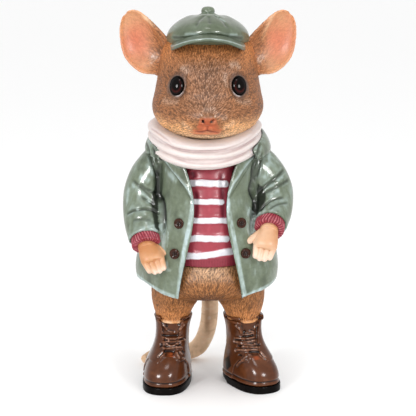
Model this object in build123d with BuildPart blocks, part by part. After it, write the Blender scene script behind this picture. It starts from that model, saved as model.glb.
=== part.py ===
from build123d import *
import os
from math import cos, radians, sin

# Mouse figurine in a flat cap, scarf, open coat and lace-up boots, standing on its own two feet.
# It is an assembly of castings that are glued together by spigots in sockets.
# Millimetres, +Z up from the surface it stands on. The figure looks along -Y.
# Right and left are the figure's own sides, so its right hand lies towards -X.

# Heights, each counted from the one below it
SOLE_THICKNESS = 4.2
BOOT_HEIGHT = 37.0
CROTCH_RISE = 11.0
WAIST_RISE = 23.4
TRUNK_HEIGHT = 70.8
HEAD_HEIGHT = 61.0

# Fits shared by the glued joints
GLUE_GAP = 0.12
OVERRUN = 60.0

# Head
HEAD_HALF_WIDTH = 31.0
MUZZLE_REACH = 46.0
SKULL_BACK = 29.0
NECK_SPIGOT_RADIUS = 7.5
NECK_SPIGOT_LENGTH = 11.0
NOSE_HALF_WIDTH = 4.6
NOSE_RADIUS = 3.5
NOSE_STAND_OUT = 1.0
NOSTRIL_RADIUS = 0.9
NOSTRIL_DEPTH = 1.5
EYE_HALF_WIDTH = 4.2
EYE_DEPTH = 8.4
EYE_HALF_HEIGHT = 5.0
EYE_STAND_OUT = 2.1

# Ears
EAR_LENGTH = 37.0
EAR_HALF_WIDTH = 13.0
EAR_DISH_DEPTH = 5.4
EAR_WALL = 2.4
EAR_RIM = 1.7
EAR_ROOT_DEPTH = 5.0
EAR_LEAN = 46.0
EAR_TURN = 14.0

# Cap
CAP_HALF_WIDTH = 23.4
CAP_FRONT = 29.5
CAP_BACK = 24.5
CAP_HEIGHT = 19.2
CAP_TOP_RISE = 7.2
CAP_TILT = 9.0
PEAK_RISE = 8.2
PEAK_REACH = 40.0
PEAK_HALF_WIDTH = 20.6
PEAK_THICKNESS = 1.8
PEAK_ARCH_RADIUS = 29.0
PEAK_SLOPE = 7.0
CAP_BUTTON_RADIUS = 3.6
CAP_BUTTON_HEIGHT = 4.6
CAP_BUTTON_SINK = 1.15

# Trunk in its striped jersey
TRUNK_HALF_WIDTH = 25.5
TRUNK_FRONT = 29.0
TRUNK_BACK = 22.5
HEM_BAND_HEIGHT = 5.4
HEM_BAND_RELIEF = 0.7
STRIPE_HEIGHT = 4.0
STRIPE_RELIEF = 0.45
STRIPE_PITCH = 9.9
STRIPE_COUNT = 5

# Scarf
SCARF_HALF_WIDTH = 32.2
SCARF_FRONT = 36.5
SCARF_BACK = 30.5
SCARF_RISE = 6.6
SCARF_DROP = 8.6
SCARF_SHIFT = -1.8
FOLD_PITCH = 4.8
FOLD_HALF_DEPTH = 7.6
FOLD_HALF_HEIGHT = 3.5

# Coat
COAT_HALF_WIDTH = 41.0
COAT_FRONT = 34.5
COAT_BACK = 33.0
COAT_SKIRT_DROP = 17.6
COAT_WALL = 2.8
COAT_SIDE_HEM_RISE = 7.6
OPENING_HEM_HALF_WIDTH = 17.8
OPENING_CHEST_HALF_WIDTH = 9.4
OPENING_NECK_HALF_WIDTH = 20.0
OPENING_SHIFT = 1.2
LAPEL_THICKNESS = 1.2
LAPEL_WIDTH = 15.75
COLLAR_HALF_WIDTH = 34.4
COLLAR_FRONT = 36.0
COLLAR_BACK = 32.6
COLLAR_HALF_HEIGHT = 6.4
COLLAR_HALF_THICKNESS = 1.7
COLLAR_DROP = 8.0
COLLAR_LEAN = 24.0
BUTTON_RADIUS = 2.9
BUTTON_THICKNESS = 2.1
BUTTON_SEAT_DEPTH = 0.6
BUTTON_EDGE_GAP = 2.7

# Arms
SHOULDER_HALF_WIDTH = 24.0
SHOULDER_DROP = 13.0
ARM_SPREAD = 12.6
ARM_DROP = 43.0
ARM_REACH = 20.0
LEFT_WRIST_LIFT = 8.5
SLEEVE_RADIUS = 11.6
SLEEVE_HEM_WALL = 1.6
SLEEVE_HEM_DEPTH = 4.0
SHOULDER_TENON_RADIUS = 4.0
CUFF_LENGTH = 8.6
WRIST_RADIUS = 5.1
WRIST_TENON_LENGTH = 7.0
WRIST_LENGTH = 1.75
PALM_LENGTH = 12.0
PALM_HALF_WIDTH = 6.6
PALM_HALF_THICKNESS = 4.3
FINGER_LENGTH = 5.1
FINGER_RADIUS = 1.95
THUMB_LENGTH = 8.2
THUMB_RADIUS = 2.4

# Hips, legs and tail
HIP_HALF_WIDTH = 33.0
HIP_FRONT = 29.0
HIP_BACK = 26.0
WAIST_SPIGOT_RADIUS = 15.0
WAIST_SPIGOT_HEIGHT = 10.0
FOOT_SPACING = 20.3
ANKLE_BACK = 2.5
LEG_RADIUS = 9.1
LEG_SOCKET_DEPTH = 11.0
LEG_PIN_RADIUS = 2.0
LEG_PIN_LENGTH = 46.0
TAIL_ROOT_RADIUS = 5.2
TAIL_BACK = 43.0
TAIL_SPREAD = 39.0
TAIL_WIRE_RADIUS = 0.9
TAIL_FLOOR_GAP = 0.8

# Boots
BOOT_HALF_WIDTH = 13.0
BOOT_TOE_REACH = 27.5
BOOT_HEEL_REACH = 16.5
WELT_OVERHANG = 0.9
ARCH_RISE = 1.9
ARCH_RADIUS = 5.5
QUARTER_THICKNESS = 0.8
TONGUE_SLOT_DEPTH = 2.6
TONGUE_SINK = 0.9
THROAT_HALF_WIDTH = 6.6
THROAT_LOW_HALF_WIDTH = 2.6
FLAP_SPREAD = 5.4
FLAP_FALL = 4.6
LACE_RADIUS = 0.8
LACE_REACH = 2.2
LACE_SLANT = 0.9
LACE_ROWS = 4
RIGHT_TOE_OUT = 6.0
LEFT_TOE_OUT = 24.0

# Levels that follow from the heights above
RIM_LEVEL = SOLE_THICKNESS + BOOT_HEIGHT
CROTCH_LEVEL = RIM_LEVEL + CROTCH_RISE
WAIST_LEVEL = CROTCH_LEVEL + WAIST_RISE
NECK_LEVEL = WAIST_LEVEL + TRUNK_HEIGHT
SKULL_TOP_LEVEL = NECK_LEVEL + HEAD_HEIGHT
SHOULDER_LEVEL = NECK_LEVEL - SHOULDER_DROP
COAT_HEM_LEVEL = WAIST_LEVEL - COAT_SKIRT_DROP
COAT_HEIGHT = NECK_LEVEL - COAT_HEM_LEVEL
CAP_BASE_LEVEL = SKULL_TOP_LEVEL + CAP_TOP_RISE - CAP_HEIGHT

# How full each quarter of an oval outline is. An ellipse has the round share for both its handles.
ROUND_SHARE = 0.5523
BOOT_SIDE_SHARE = 0.80
BOOT_TOE_SHARE = 0.62

# Outline tables. Each row gives a level as a share of the form's height, then its half width, its reach to
# the front and its reach to the back, as shares of the form's own sizes. A fifth number says how blunt the
# front is where it isn't round.
HEAD_SHARES = [
    (0.0, 0.46, 0.46, 0.42, 0.52),
    (0.035, 0.64, 0.63, 0.58, 0.50),
    (0.09, 0.80, 0.80, 0.76, 0.46),
    (0.17, 0.93, 0.925, 0.90, 0.42),
    (0.25, 0.995, 0.985, 0.97, 0.40),
    (0.34, 0.99, 0.93, 1.0, 0.40),
    (0.45, 0.945, 0.83, 1.0, 0.43),
    (0.57, 0.905, 0.71, 0.99, 0.48),
    (0.69, 0.875, 0.615, 0.95, ROUND_SHARE),
    (0.80, 0.81, 0.52, 0.87, ROUND_SHARE),
    (0.90, 0.66, 0.41, 0.72, ROUND_SHARE),
    (0.965, 0.43, 0.26, 0.47, ROUND_SHARE),
    (1.0, 0.16, 0.10, 0.18, ROUND_SHARE),
]
TRUNK_SHARES = [
    (0.0, 0.97, 0.93, 0.95),
    (0.15, 1.0, 1.0, 1.0),
    (0.34, 0.98, 1.0, 1.0),
    (0.54, 0.92, 0.94, 0.98),
    (0.72, 0.84, 0.84, 0.90),
    (0.86, 0.72, 0.68, 0.76),
    (0.95, 0.56, 0.52, 0.60),
    (1.0, 0.48, 0.45, 0.55),
]
COAT_SHARES = [
    (0.0, 1.0, 0.955, 1.0),
    (0.14, 0.995, 0.99, 0.985),
    (0.30, 0.935, 1.0, 0.94),
    (0.46, 0.815, 0.985, 0.87),
    (0.60, 0.715, 0.94, 0.81),
    (0.74, 0.685, 0.875, 0.78),
    (0.86, 0.695, 0.80, 0.77),
    (0.94, 0.64, 0.71, 0.71),
    (1.0, 0.50, 0.56, 0.58),
]
# Rows of a ring round the neck, from the back to the front on one side: turn as a share of half a circle,
# fall as a share of the ring's drop, then its thickness and height as shares of the ring's own.
SCARF_SHARES = [
    (0.0, 0.0, 1.0, 1.0),
    (0.22, 0.0, 1.0, 1.0),
    (0.44, 0.08, 0.94, 1.0),
    (0.60, 0.30, 0.94, 1.0),
    (0.76, 0.66, 0.98, 0.97),
    (0.90, 0.94, 1.0, 0.93),
    (1.0, 1.0, 1.0, 0.92),
]
COLLAR_SHARES = [
    (0.0, 0.0, 1.0, 1.0),
    (0.22, 0.06, 1.0, 1.0),
    (0.44, 0.28, 1.0, 0.93),
    (0.60, 0.62, 1.0, 0.76),
    (0.72, 1.0, 0.94, 0.50),
]
HIP_SHARES = [
    (0.0, 0.42, 0.22, 0.40),
    (0.08, 0.76, 0.58, 0.70),
    (0.22, 0.94, 0.86, 0.89),
    (0.45, 1.0, 0.99, 1.0),
    (0.72, 0.93, 1.0, 0.97),
    (1.0, 0.80, 0.90, 0.86),
]
CAP_SHARES = [
    (0.0, 0.84, 0.74, 0.82),
    (0.10, 0.95, 0.92, 0.94),
    (0.26, 1.0, 1.0, 1.0),
    (0.44, 0.965, 0.985, 0.97),
    (0.62, 0.85, 0.87, 0.86),
    (0.79, 0.655, 0.67, 0.67),
    (0.92, 0.40, 0.41, 0.42),
    (1.0, 0.16, 0.16, 0.17),
]
BOOT_SHARES = [
    (0.0, 0.985, 0.985, 0.98),
    (0.09, 1.0, 1.0, 1.0),
    (0.20, 0.965, 0.965, 0.97),
    (0.32, 0.88, 0.84, 0.90),
    (0.45, 0.765, 0.64, 0.80),
    (0.58, 0.695, 0.475, 0.72),
    (0.72, 0.675, 0.39, 0.69),
    (0.86, 0.705, 0.385, 0.70),
    (1.0, 0.785, 0.42, 0.75),
]
# How far outwards each of those rows stands from the ankle, as a share of the boot's half width
BOOT_ASIDE_SHARES = (0.25, 0.25, 0.235, 0.19, 0.13, 0.07, 0.03, 0.0, 0.0)
# Rows of an egg, from its back to its front, as shares of its depth and of its half width and half height
EGG_SHARES = []
for turn in range(6, 175, 21):
    swell = sin(radians(turn))
    EGG_SHARES.append(((1 - cos(radians(turn))) / 2, swell, swell, swell))
PALM_SHARES = [
    (0.0, 0.78, 1.0, 1.0),
    (0.30, 0.90, 1.0, 1.0),
    (0.62, 1.0, 1.0, 1.0),
    (0.86, 0.96, 0.86, 0.90),
    (1.0, 0.80, 0.62, 0.66),
]
# Rows of the leg: level as a share of its height, sideways place as a share of the foot spacing, then radius
# across and fore-and-aft as shares of the leg radius.
LEG_SHARES = [
    (0.0, 1.0, 0.90, 0.90),
    (0.26, 1.0, 1.0, 1.0),
    (0.42, 0.995, 1.20, 1.24),
    (0.58, 0.955, 1.42, 1.55),
    (0.76, 0.885, 1.62, 1.90),
    (1.0, 0.80, 1.70, 2.20),
]
# Rows of the ear: place along it, half width, dish depth and wall, as shares of the ear's own sizes, then
# how far the row lies towards its upper edge, as a share of its half width.
EAR_SHARES = [
    (0.0, 0.66, 0.50, 2.2, 0.08),
    (0.13, 0.86, 0.78, 1.7, 0.02),
    (0.27, 1.0, 1.0, 1.25, -0.04),
    (0.43, 1.03, 1.0, 1.05, -0.05),
    (0.62, 0.965, 0.86, 1.0, 0.01),
    (0.76, 0.82, 0.66, 0.90, 0.13),
    (0.885, 0.62, 0.44, 0.80, 0.25),
    (0.965, 0.38, 0.24, 0.70, 0.32),
    (1.0, 0.17, 0.10, 0.60, 0.35),
]
# Rows of the sleeve: outwards, forwards and down, as shares of the arm's spread, reach and drop, then radius.
ARM_SHARES = [
    (0.0, 0.0, 0.0, 0.92),
    (0.52, 0.06, 0.18, 1.0),
    (0.90, 0.12, 0.40, 1.02),
    (1.0, 0.27, 0.60, 1.0),
    (0.96, 0.60, 0.81, 0.93),
    (0.85, 1.0, 1.0, 0.84),
]
# Rows of the tail: sideways, backwards and height, as shares of the tail's spread, back reach and the
# crotch level, then radius. The last rows lie on the floor.
TAIL_SHARES = [
    (0.0, 0.48, 1.08, 1.0),
    (-0.015, 0.72, 0.95, 1.0),
    (-0.03, 0.92, 0.76, 1.0),
    (-0.02, 0.985, 0.52, 1.0),
    (0.05, 1.0, 0.29, 1.0),
    (0.24, 1.0, 0.0, 0.98),
    (0.48, 0.99, 0.0, 0.90),
    (0.70, 0.955, 0.0, 0.79),
    (0.88, 0.87, 0.0, 0.65),
    (1.0, 0.75, 0.0, 0.48),
]
FLOOR_ROWS = 5
TAIL_STATIONS = 16
ARM_STATIONS = 9
LOWER_FOLDS = 2

# Places on the carrying form, as shares of its half width and height
EYE_PLACE_SHARES = (0.54, 0.505)
NOSE_LEVEL_SHARE = 0.235
NOSTRIL_PLACE_SHARE = 0.58
EAR_LEVEL_SHARE = 0.69
EAR_PLACE_SHARE = 0.875
BUTTON_LEVEL_SHARES = (0.489, 0.297)
CHEST_LEVEL_SHARE = 0.655
OPENING_TOP_SHARE = 0.98
OPENING_TANGENT_SHARES = ((-0.12, 1), (0.6, 1))
LAPEL_NOTCH_SHARE = 0.903
LAPEL_FOOT_SHARE = 0.582
LAPEL_TOP_SHARE = 0.835
LAPEL_MIDDLE_SHARE = 0.413
COAT_CAVITY_SHARE = 0.766
THROAT_LOW_SHARE = 0.44
QUARTER_TAB_SHARE = 0.36
QUARTER_FOOT_SHARE = 0.22
QUARTER_TAB_REACH_SHARE = 0.47
QUARTER_FOOT_REACH_SHARE = 0.30
QUARTER_WELT_REACH_SHARE = 0.20
LACE_LOW_SHARE = 0.52
LACE_HIGH_SHARE = 0.82
ARCH_PLACE_SHARE = 0.30
PEAK_HINGE_SHARE = 0.38
CAP_BUTTON_ROUND_SHARE = 0.42
BUTTON_ROUND_SHARE = 0.35
KNUCKLE_SHARE = 0.78
FINGER_CURL_SHARE = 0.40
FINGERTIP_SHARE = 0.85
FINGER_CLOSE_SHARE = 0.82
# Each finger's place across the palm and its length, from the little finger to the first
FINGER_SHARES = ((-0.74, 0.70), (-0.25, 0.95), (0.25, 1.0), (0.74, 0.85))
# Where the thumb starts, across and along the palm, and where it points
THUMB_ROOT_SHARES = (0.58, 0.22)
THUMB_AIM_SHARES = (0.66, -0.12, 0.74)
# Where each hand points: inwards, forwards and down
RIGHT_AIM_SHARES = (0.36, 0.69, 0.62)
LEFT_AIM_SHARES = (0.24, 0.52, 0.80)

UP = Vector(0, 0, 1)
FRONT = Vector(0, -1, 0)
SIDES = (("right", -1), ("left", 1))


def oval_outline(half_width, front, back, side=ROUND_SHARE, toe=ROUND_SHARE, aside=0):
    """Draws a closed oval of four Bezier quarters in the open line builder, its front towards -Y.
    side is how far the front's sides run straight, toe how blunt the front is, and aside its middle's X."""
    right, left = aside - half_width, aside + half_width
    rounded = half_width * ROUND_SHARE
    blunt = half_width * toe
    Bezier((left, 0), (left, back * ROUND_SHARE), (aside + rounded, back), (aside, back))
    Bezier((aside, back), (aside - rounded, back), (right, back * ROUND_SHARE), (right, 0))
    Bezier((right, 0), (right, -front * side), (aside - blunt, -front), (aside, -front))
    Bezier((aside, -front), (aside + blunt, -front), (left, -front * side), (left, 0))


def oval_body(plane, height, sizes, shares, grow=0, side=ROUND_SHARE, toe=ROUND_SHARE):
    """A body lofted through oval outlines stacked on plane. sizes is (half width, front, back), shares a
    table of outlines, and grow is added all round."""
    half_width, front, back = sizes
    with BuildPart() as body:
        for level, wide, ahead, behind, *blunt in shares:
            toe_here = blunt[0] if blunt else toe
            with BuildSketch(plane.offset(height * level)):
                with BuildLine():
                    oval_outline(
                        half_width * wide + grow, front * ahead + grow, back * behind + grow, side, toe_here
                    )
                make_face()
        loft()
    return body.part


def rounded_tube(stations):
    """A body lofted through circles. Each station is (plane, radius)."""
    with BuildPart() as tube:
        for plane, radius in stations:
            with BuildSketch(plane):
                Circle(radius)
        loft()
    return tube.part


def curve_planes(points, count):
    """Planes across a smooth curve through the points, evenly spaced and not twisted against each other."""
    route = Spline(*points)
    across = Vector(1, 0, 0)
    planes = []
    for n in range(count + 1):
        along = route % (n / count)
        across = (across - along * across.dot(along)).normalized()
        planes.append(Plane(origin=route @ (n / count), x_dir=across, z_dir=along))
    return planes


def value_along(points, values, place):
    """The value at a place from 0 to 1 along a path, where values holds one for each of its points."""
    lengths = [(end - start).length for start, end in zip(points, points[1:])]
    left = place * sum(lengths)
    for length, low, high in zip(lengths, values, values[1:]):
        if left <= length:
            return low + (high - low) * left / length
        left -= length
    return values[-1]


def curved_tube(points, radii, count):
    """A tube of changing radius along a smooth curve through the points."""
    stations = []
    for n, plane in enumerate(curve_planes(points, count)):
        stations.append((plane, value_along(points, radii, n / count)))
    return rounded_tube(stations)


def round_peg(plane, radius, start, end):
    """A round peg square to plane, from start to end along its normal."""
    with BuildPart() as peg:
        with BuildSketch(plane.offset(start)):
            Circle(radius)
        extrude(amount=end - start)
    return peg.part


def elevation_prism(points, front, back):
    """A prism drawn on the front elevation as (x, z) points, reaching from front to back along Y."""
    with BuildPart() as prism:
        with BuildSketch(Plane.XZ.offset(front)):
            with BuildLine():
                Polyline(*points, close=True)
            make_face()
        extrude(amount=-(front + back))
    return prism.part


def spheroid(plane, half_length, radius):
    """An egg-shaped body about plane's x direction, on plane's origin."""
    with BuildPart() as body:
        with BuildSketch(plane):
            Ellipse(half_length, radius)
            with Locations((0, -radius)):
                Rectangle(2 * half_length, 2 * radius, mode=Mode.SUBTRACT)
        revolve(axis=Axis(plane.origin, plane.x_dir))
    return body.part


def capsule(start, end, start_radius, end_radius):
    """A rounded finger from start to end."""
    along = (end - start).normalized()
    length = (end - start).length
    across = along.cross(Vector(1, 1, 1)).normalized()
    with BuildPart() as finger:
        with BuildSketch(Plane(origin=start, x_dir=across, z_dir=across.cross(along))):
            with BuildLine():
                base = CenterArc((0, 0), start_radius, -90, 90)
                tip = CenterArc((0, length), end_radius, 0, 90)
                Line(base @ 1, tip @ 0)
                Line(tip @ 1, base @ 0)
            make_face()
        revolve(axis=Axis(start, along))
    return finger.part


def ring_body(sizes, level, drop, half_depth, half_height, rows, lean=0):
    """A ring round the neck of flattened round section, lofted on the figure's right from the back to the
    front and mirrored. Its outside follows the oval of sizes, and lean tips its top inwards."""
    half_width, front, back = sizes
    tip = radians(lean)
    with BuildPart() as ring:
        for turn_share, fall, thick, tall in rows:
            turn = radians(180 * turn_share)
            outward = Vector(-sin(turn), cos(turn), 0)
            reach = back if outward.Y > 0 else front
            radius = 1 / ((outward.X / half_width) ** 2 + (outward.Y / reach) ** 2) ** 0.5
            origin = outward * (radius - half_depth * thick) + UP * (level - drop * fall)
            section = Plane(
                origin=origin, x_dir=outward * cos(tip) + UP * sin(tip), z_dir=outward.cross(UP)
            )
            with BuildSketch(section):
                Ellipse(half_depth * thick, half_height * tall)
        loft()
        mirror(about=Plane.YZ)
    return ring.part


def front_plane(body, x, z):
    """The plane that touches the front of body at (x, z), facing outwards."""
    ray = Axis((x, -OVERRUN - OVERRUN, z), (0, 1, 0))
    point, normal = min(body.find_intersection_points(ray), key=lambda hit: hit[0].Y)
    outward = normal if normal.dot(FRONT) > 0 else -normal
    return Plane(origin=point, x_dir=UP.cross(outward).normalized(), z_dir=outward)


def to_side(shape, side):
    """Pieces are drawn on the figure's right. This mirrors them to its left where side is positive."""
    return shape.mirror(Plane.YZ) if side > 0 else shape


# Forms that several pieces are cut from

HEAD_SIZES = (HEAD_HALF_WIDTH, MUZZLE_REACH, SKULL_BACK)
TRUNK_SIZES = (TRUNK_HALF_WIDTH, TRUNK_FRONT, TRUNK_BACK)
COAT_SIZES = (COAT_HALF_WIDTH, COAT_FRONT, COAT_BACK)
COLLAR_SIZES = (COLLAR_HALF_WIDTH, COLLAR_FRONT, COLLAR_BACK)
SCARF_SIZES = (SCARF_HALF_WIDTH, SCARF_FRONT, SCARF_BACK)
HIP_SIZES = (HIP_HALF_WIDTH, HIP_FRONT, HIP_BACK)
CAP_SIZES = (CAP_HALF_WIDTH, CAP_FRONT, CAP_BACK)
LEG_BASE_LEVEL = RIM_LEVEL - LEG_SOCKET_DEPTH
LEG_HEIGHT = CROTCH_LEVEL + CROTCH_RISE - LEG_BASE_LEVEL


def trunk_form(grow=0):
    return oval_body(Plane.XY.offset(WAIST_LEVEL), TRUNK_HEIGHT, TRUNK_SIZES, TRUNK_SHARES, grow)


def coat_form(grow=0):
    return oval_body(Plane.XY.offset(COAT_HEM_LEVEL), COAT_HEIGHT, COAT_SIZES, COAT_SHARES, grow)


def boot_form(grow=0):
    """The figure's right boot without its sole. Its foot stands a little outwards of its ankle."""
    with BuildPart() as body:
        for (level, wide, ahead, behind), aside in zip(BOOT_SHARES, BOOT_ASIDE_SHARES):
            with BuildSketch(Plane.XY.offset(SOLE_THICKNESS + BOOT_HEIGHT * level)):
                with BuildLine():
                    oval_outline(
                        BOOT_HALF_WIDTH * wide + grow,
                        BOOT_TOE_REACH * ahead + grow,
                        BOOT_HEEL_REACH * behind + grow,
                        BOOT_SIDE_SHARE,
                        BOOT_TOE_SHARE,
                        -BOOT_HALF_WIDTH * aside,
                    )
                make_face()
        loft()
    return body.part


def leg_form(grow=0):
    """One furry leg on the figure's left, leaning in from the boot to the hip."""
    with BuildPart() as leg:
        for level, place, wide, deep in LEG_SHARES:
            across = LEG_RADIUS * wide + grow
            along = LEG_RADIUS * deep + grow
            centre = (FOOT_SPACING * place, ANKLE_BACK * (1 - level), LEG_BASE_LEVEL + LEG_HEIGHT * level)
            with BuildSketch(Plane(origin=centre)):
                with BuildLine():
                    oval_outline(across, along, along)
                make_face()
        loft()
    return leg.part


def opening_half_width(level):
    """Half the gap between the coat's front edges at a level, taken as straight from hem to chest."""
    share = (level - COAT_HEM_LEVEL) / (COAT_HEIGHT * CHEST_LEVEL_SHARE)
    return OPENING_HEM_HALF_WIDTH + (OPENING_CHEST_HALF_WIDTH - OPENING_HEM_HALF_WIDTH) * share


def opening_prism():
    """The space between the coat's front edges: wide at the hem and the neck, narrow at the chest."""
    chest_level = COAT_HEM_LEVEL + COAT_HEIGHT * CHEST_LEVEL_SHARE
    top_level = COAT_HEM_LEVEL + COAT_HEIGHT * OPENING_TOP_SHARE
    low, high = COAT_HEM_LEVEL - OVERRUN, NECK_LEVEL + OVERRUN
    with BuildPart() as prism:
        with BuildSketch(Plane.XZ):
            with BuildLine():
                Polyline((0, low), (OPENING_HEM_HALF_WIDTH, low), (OPENING_HEM_HALF_WIDTH, COAT_HEM_LEVEL))
                Spline(
                    (OPENING_HEM_HALF_WIDTH, COAT_HEM_LEVEL),
                    (OPENING_CHEST_HALF_WIDTH, chest_level),
                    (OPENING_NECK_HALF_WIDTH, top_level),
                    tangents=OPENING_TANGENT_SHARES,
                )
                Polyline(
                    (OPENING_NECK_HALF_WIDTH, top_level), (OPENING_NECK_HALF_WIDTH, high), (0, high), (0, low)
                )
            make_face()
            mirror(about=Plane.YZ)
        extrude(amount=OVERRUN)
    return Pos(OPENING_SHIFT, 0, 0) * prism.part


def hem_prism():
    """Everything above the coat's hem line, which rises from the front corners to the side seams."""
    wide = COAT_HALF_WIDTH + COAT_WALL
    side_level = COAT_HEM_LEVEL + COAT_SIDE_HEM_RISE
    corner = OPENING_HEM_HALF_WIDTH
    top = NECK_LEVEL + OVERRUN
    points = [(-wide, side_level), (OPENING_SHIFT - corner, COAT_HEM_LEVEL)]
    points += [(OPENING_SHIFT + corner, COAT_HEM_LEVEL)]
    points += [(wide, side_level), (wide, top), (-wide, top)]
    return elevation_prism(points, OVERRUN, OVERRUN)


# Tail with its core wire

tail_points = []
for n, (across, behind, level, size) in enumerate(TAIL_SHARES):
    height = CROTCH_LEVEL * level
    if n >= len(TAIL_SHARES) - FLOOR_ROWS:
        height = TAIL_ROOT_RADIUS * size + TAIL_FLOOR_GAP
    tail_points.append(Vector(-TAIL_SPREAD * across, TAIL_BACK * behind, height))
tail_radii = [TAIL_ROOT_RADIUS * size for *_, size in TAIL_SHARES]
tail_planes = curve_planes(tail_points, TAIL_STATIONS)

with BuildPart() as tail_wire:
    add(rounded_tube([(plane, TAIL_WIRE_RADIUS) for plane in tail_planes[:-1]]))
tail_wire.part.label = "tail_core_wire"

with BuildPart() as tail:
    add(curved_tube(tail_points, tail_radii, TAIL_STATIONS))
    add(tail_wire.part, mode=Mode.SUBTRACT)
tail.part.label = "tail"


# Hips and legs, one casting, with a steel pin down each ankle

def leg_pin_form(side, grow=0):
    base = Plane(origin=(side * FOOT_SPACING, ANKLE_BACK, RIM_LEVEL - LEG_PIN_LENGTH / 2))
    return round_peg(base, LEG_PIN_RADIUS + grow, 0, LEG_PIN_LENGTH)


leg_pins = {}
for name, side in SIDES:
    with BuildPart() as leg_pin:
        add(leg_pin_form(side))
    leg_pin.part.label = f"leg_pin_{name}"
    leg_pins[name] = leg_pin.part

with BuildPart() as lower_body:
    add(oval_body(Plane.XY.offset(CROTCH_LEVEL), WAIST_RISE, HIP_SIZES, HIP_SHARES))
    add(leg_form())
    add(leg_form().mirror(Plane.YZ))
    with BuildSketch(Plane.XY.offset(CROTCH_LEVEL + WAIST_RISE / 2)):
        Circle(WAIST_SPIGOT_RADIUS)
    extrude(amount=WAIST_RISE / 2 + WAIST_SPIGOT_HEIGHT)
    add(tail.part, mode=Mode.SUBTRACT)
    add(tail_wire.part, mode=Mode.SUBTRACT)
    for _, side in SIDES:
        add(leg_pin_form(side, GLUE_GAP), mode=Mode.SUBTRACT)
lower_body.part.label = "lower_body"

# Boots. The right one is drawn pointing along -Y with its ankle over the origin. Each is that one or its
# mirror image, turned and put in its place.

def throat_prism():
    """The gap over the tongue, between the two rows of eyelets."""
    low = SOLE_THICKNESS + BOOT_HEIGHT * THROAT_LOW_SHARE
    high = RIM_LEVEL + OVERRUN
    slope = (THROAT_HALF_WIDTH - THROAT_LOW_HALF_WIDTH) / (RIM_LEVEL - low)
    wide = THROAT_LOW_HALF_WIDTH + slope * (high - low)
    points = [(-THROAT_LOW_HALF_WIDTH, low), (THROAT_LOW_HALF_WIDTH, low), (wide, high), (-wide, high)]
    return elevation_prism(points, OVERRUN, 0)


def flap_notch():
    """The part of the toe that shows between the two quarters' flaps, below the throat."""
    high = SOLE_THICKNESS + BOOT_HEIGHT * THROAT_LOW_SHARE
    low = high - FLAP_FALL
    wide = THROAT_LOW_HALF_WIDTH + FLAP_SPREAD
    points = [(-wide, low), (wide, low), (THROAT_LOW_HALF_WIDTH, high), (-THROAT_LOW_HALF_WIDTH, high)]
    return elevation_prism(points, OVERRUN, 0)


def quarter_prism():
    """The part of the boot that its quarters cover: all but the toe, seen from the side."""
    tab_level = SOLE_THICKNESS + BOOT_HEIGHT * QUARTER_TAB_SHARE
    foot_level = SOLE_THICKNESS + BOOT_HEIGHT * QUARTER_FOOT_SHARE
    tab_front = BOOT_TOE_REACH * QUARTER_TAB_REACH_SHARE
    with BuildPart() as prism:
        with BuildSketch(Plane.YZ.offset(-OVERRUN)):
            with BuildLine():
                Polyline(
                    (OVERRUN, 0),
                    (OVERRUN, RIM_LEVEL),
                    (-OVERRUN, RIM_LEVEL),
                    (-OVERRUN, tab_level),
                    (-tab_front, tab_level),
                )
                Polyline(
                    (-tab_front, tab_level),
                    (-BOOT_TOE_REACH * QUARTER_FOOT_REACH_SHARE, foot_level),
                    (-BOOT_TOE_REACH * QUARTER_WELT_REACH_SHARE, 0),
                    (OVERRUN, 0),
                )
            make_face()
        extrude(amount=OVERRUN + OVERRUN)
    return prism.part


boot_solid = boot_form()
boot_core = boot_form(-TONGUE_SLOT_DEPTH)
boot_lining = boot_form(-TONGUE_SINK)
quarter_form = boot_form(QUARTER_THICKNESS)
throat = throat_prism()

with BuildPart() as tongue_slot:
    add(throat)
    add(boot_core, mode=Mode.SUBTRACT)

with BuildPart() as drawn_upper:
    add(boot_solid)
    add(tongue_slot.part, mode=Mode.SUBTRACT)

with BuildPart() as drawn_tongue:
    add(boot_lining)
    add(boot_core, mode=Mode.SUBTRACT)
    add(throat, mode=Mode.INTERSECT)

with BuildPart() as drawn_quarters:
    add(quarter_form)
    add(boot_solid, mode=Mode.SUBTRACT)
    add(quarter_prism(), mode=Mode.INTERSECT)
    add(throat, mode=Mode.SUBTRACT)
    add(flap_notch(), mode=Mode.SUBTRACT)

with BuildPart() as drawn_sole:
    with BuildSketch():
        with BuildLine():
            oval_outline(
                BOOT_HALF_WIDTH + WELT_OVERHANG,
                BOOT_TOE_REACH + WELT_OVERHANG,
                BOOT_HEEL_REACH + WELT_OVERHANG,
                BOOT_SIDE_SHARE,
                BOOT_TOE_SHARE,
                -BOOT_HALF_WIDTH * BOOT_ASIDE_SHARES[0],
            )
        make_face()
    extrude(amount=SOLE_THICKNESS)
    with BuildSketch(Plane.YZ.offset(-OVERRUN)):
        with Locations((BOOT_HEEL_REACH * ARCH_PLACE_SHARE, 0)):
            Ellipse(ARCH_RADIUS, ARCH_RISE)
    extrude(amount=OVERRUN + OVERRUN, mode=Mode.SUBTRACT)


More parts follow.
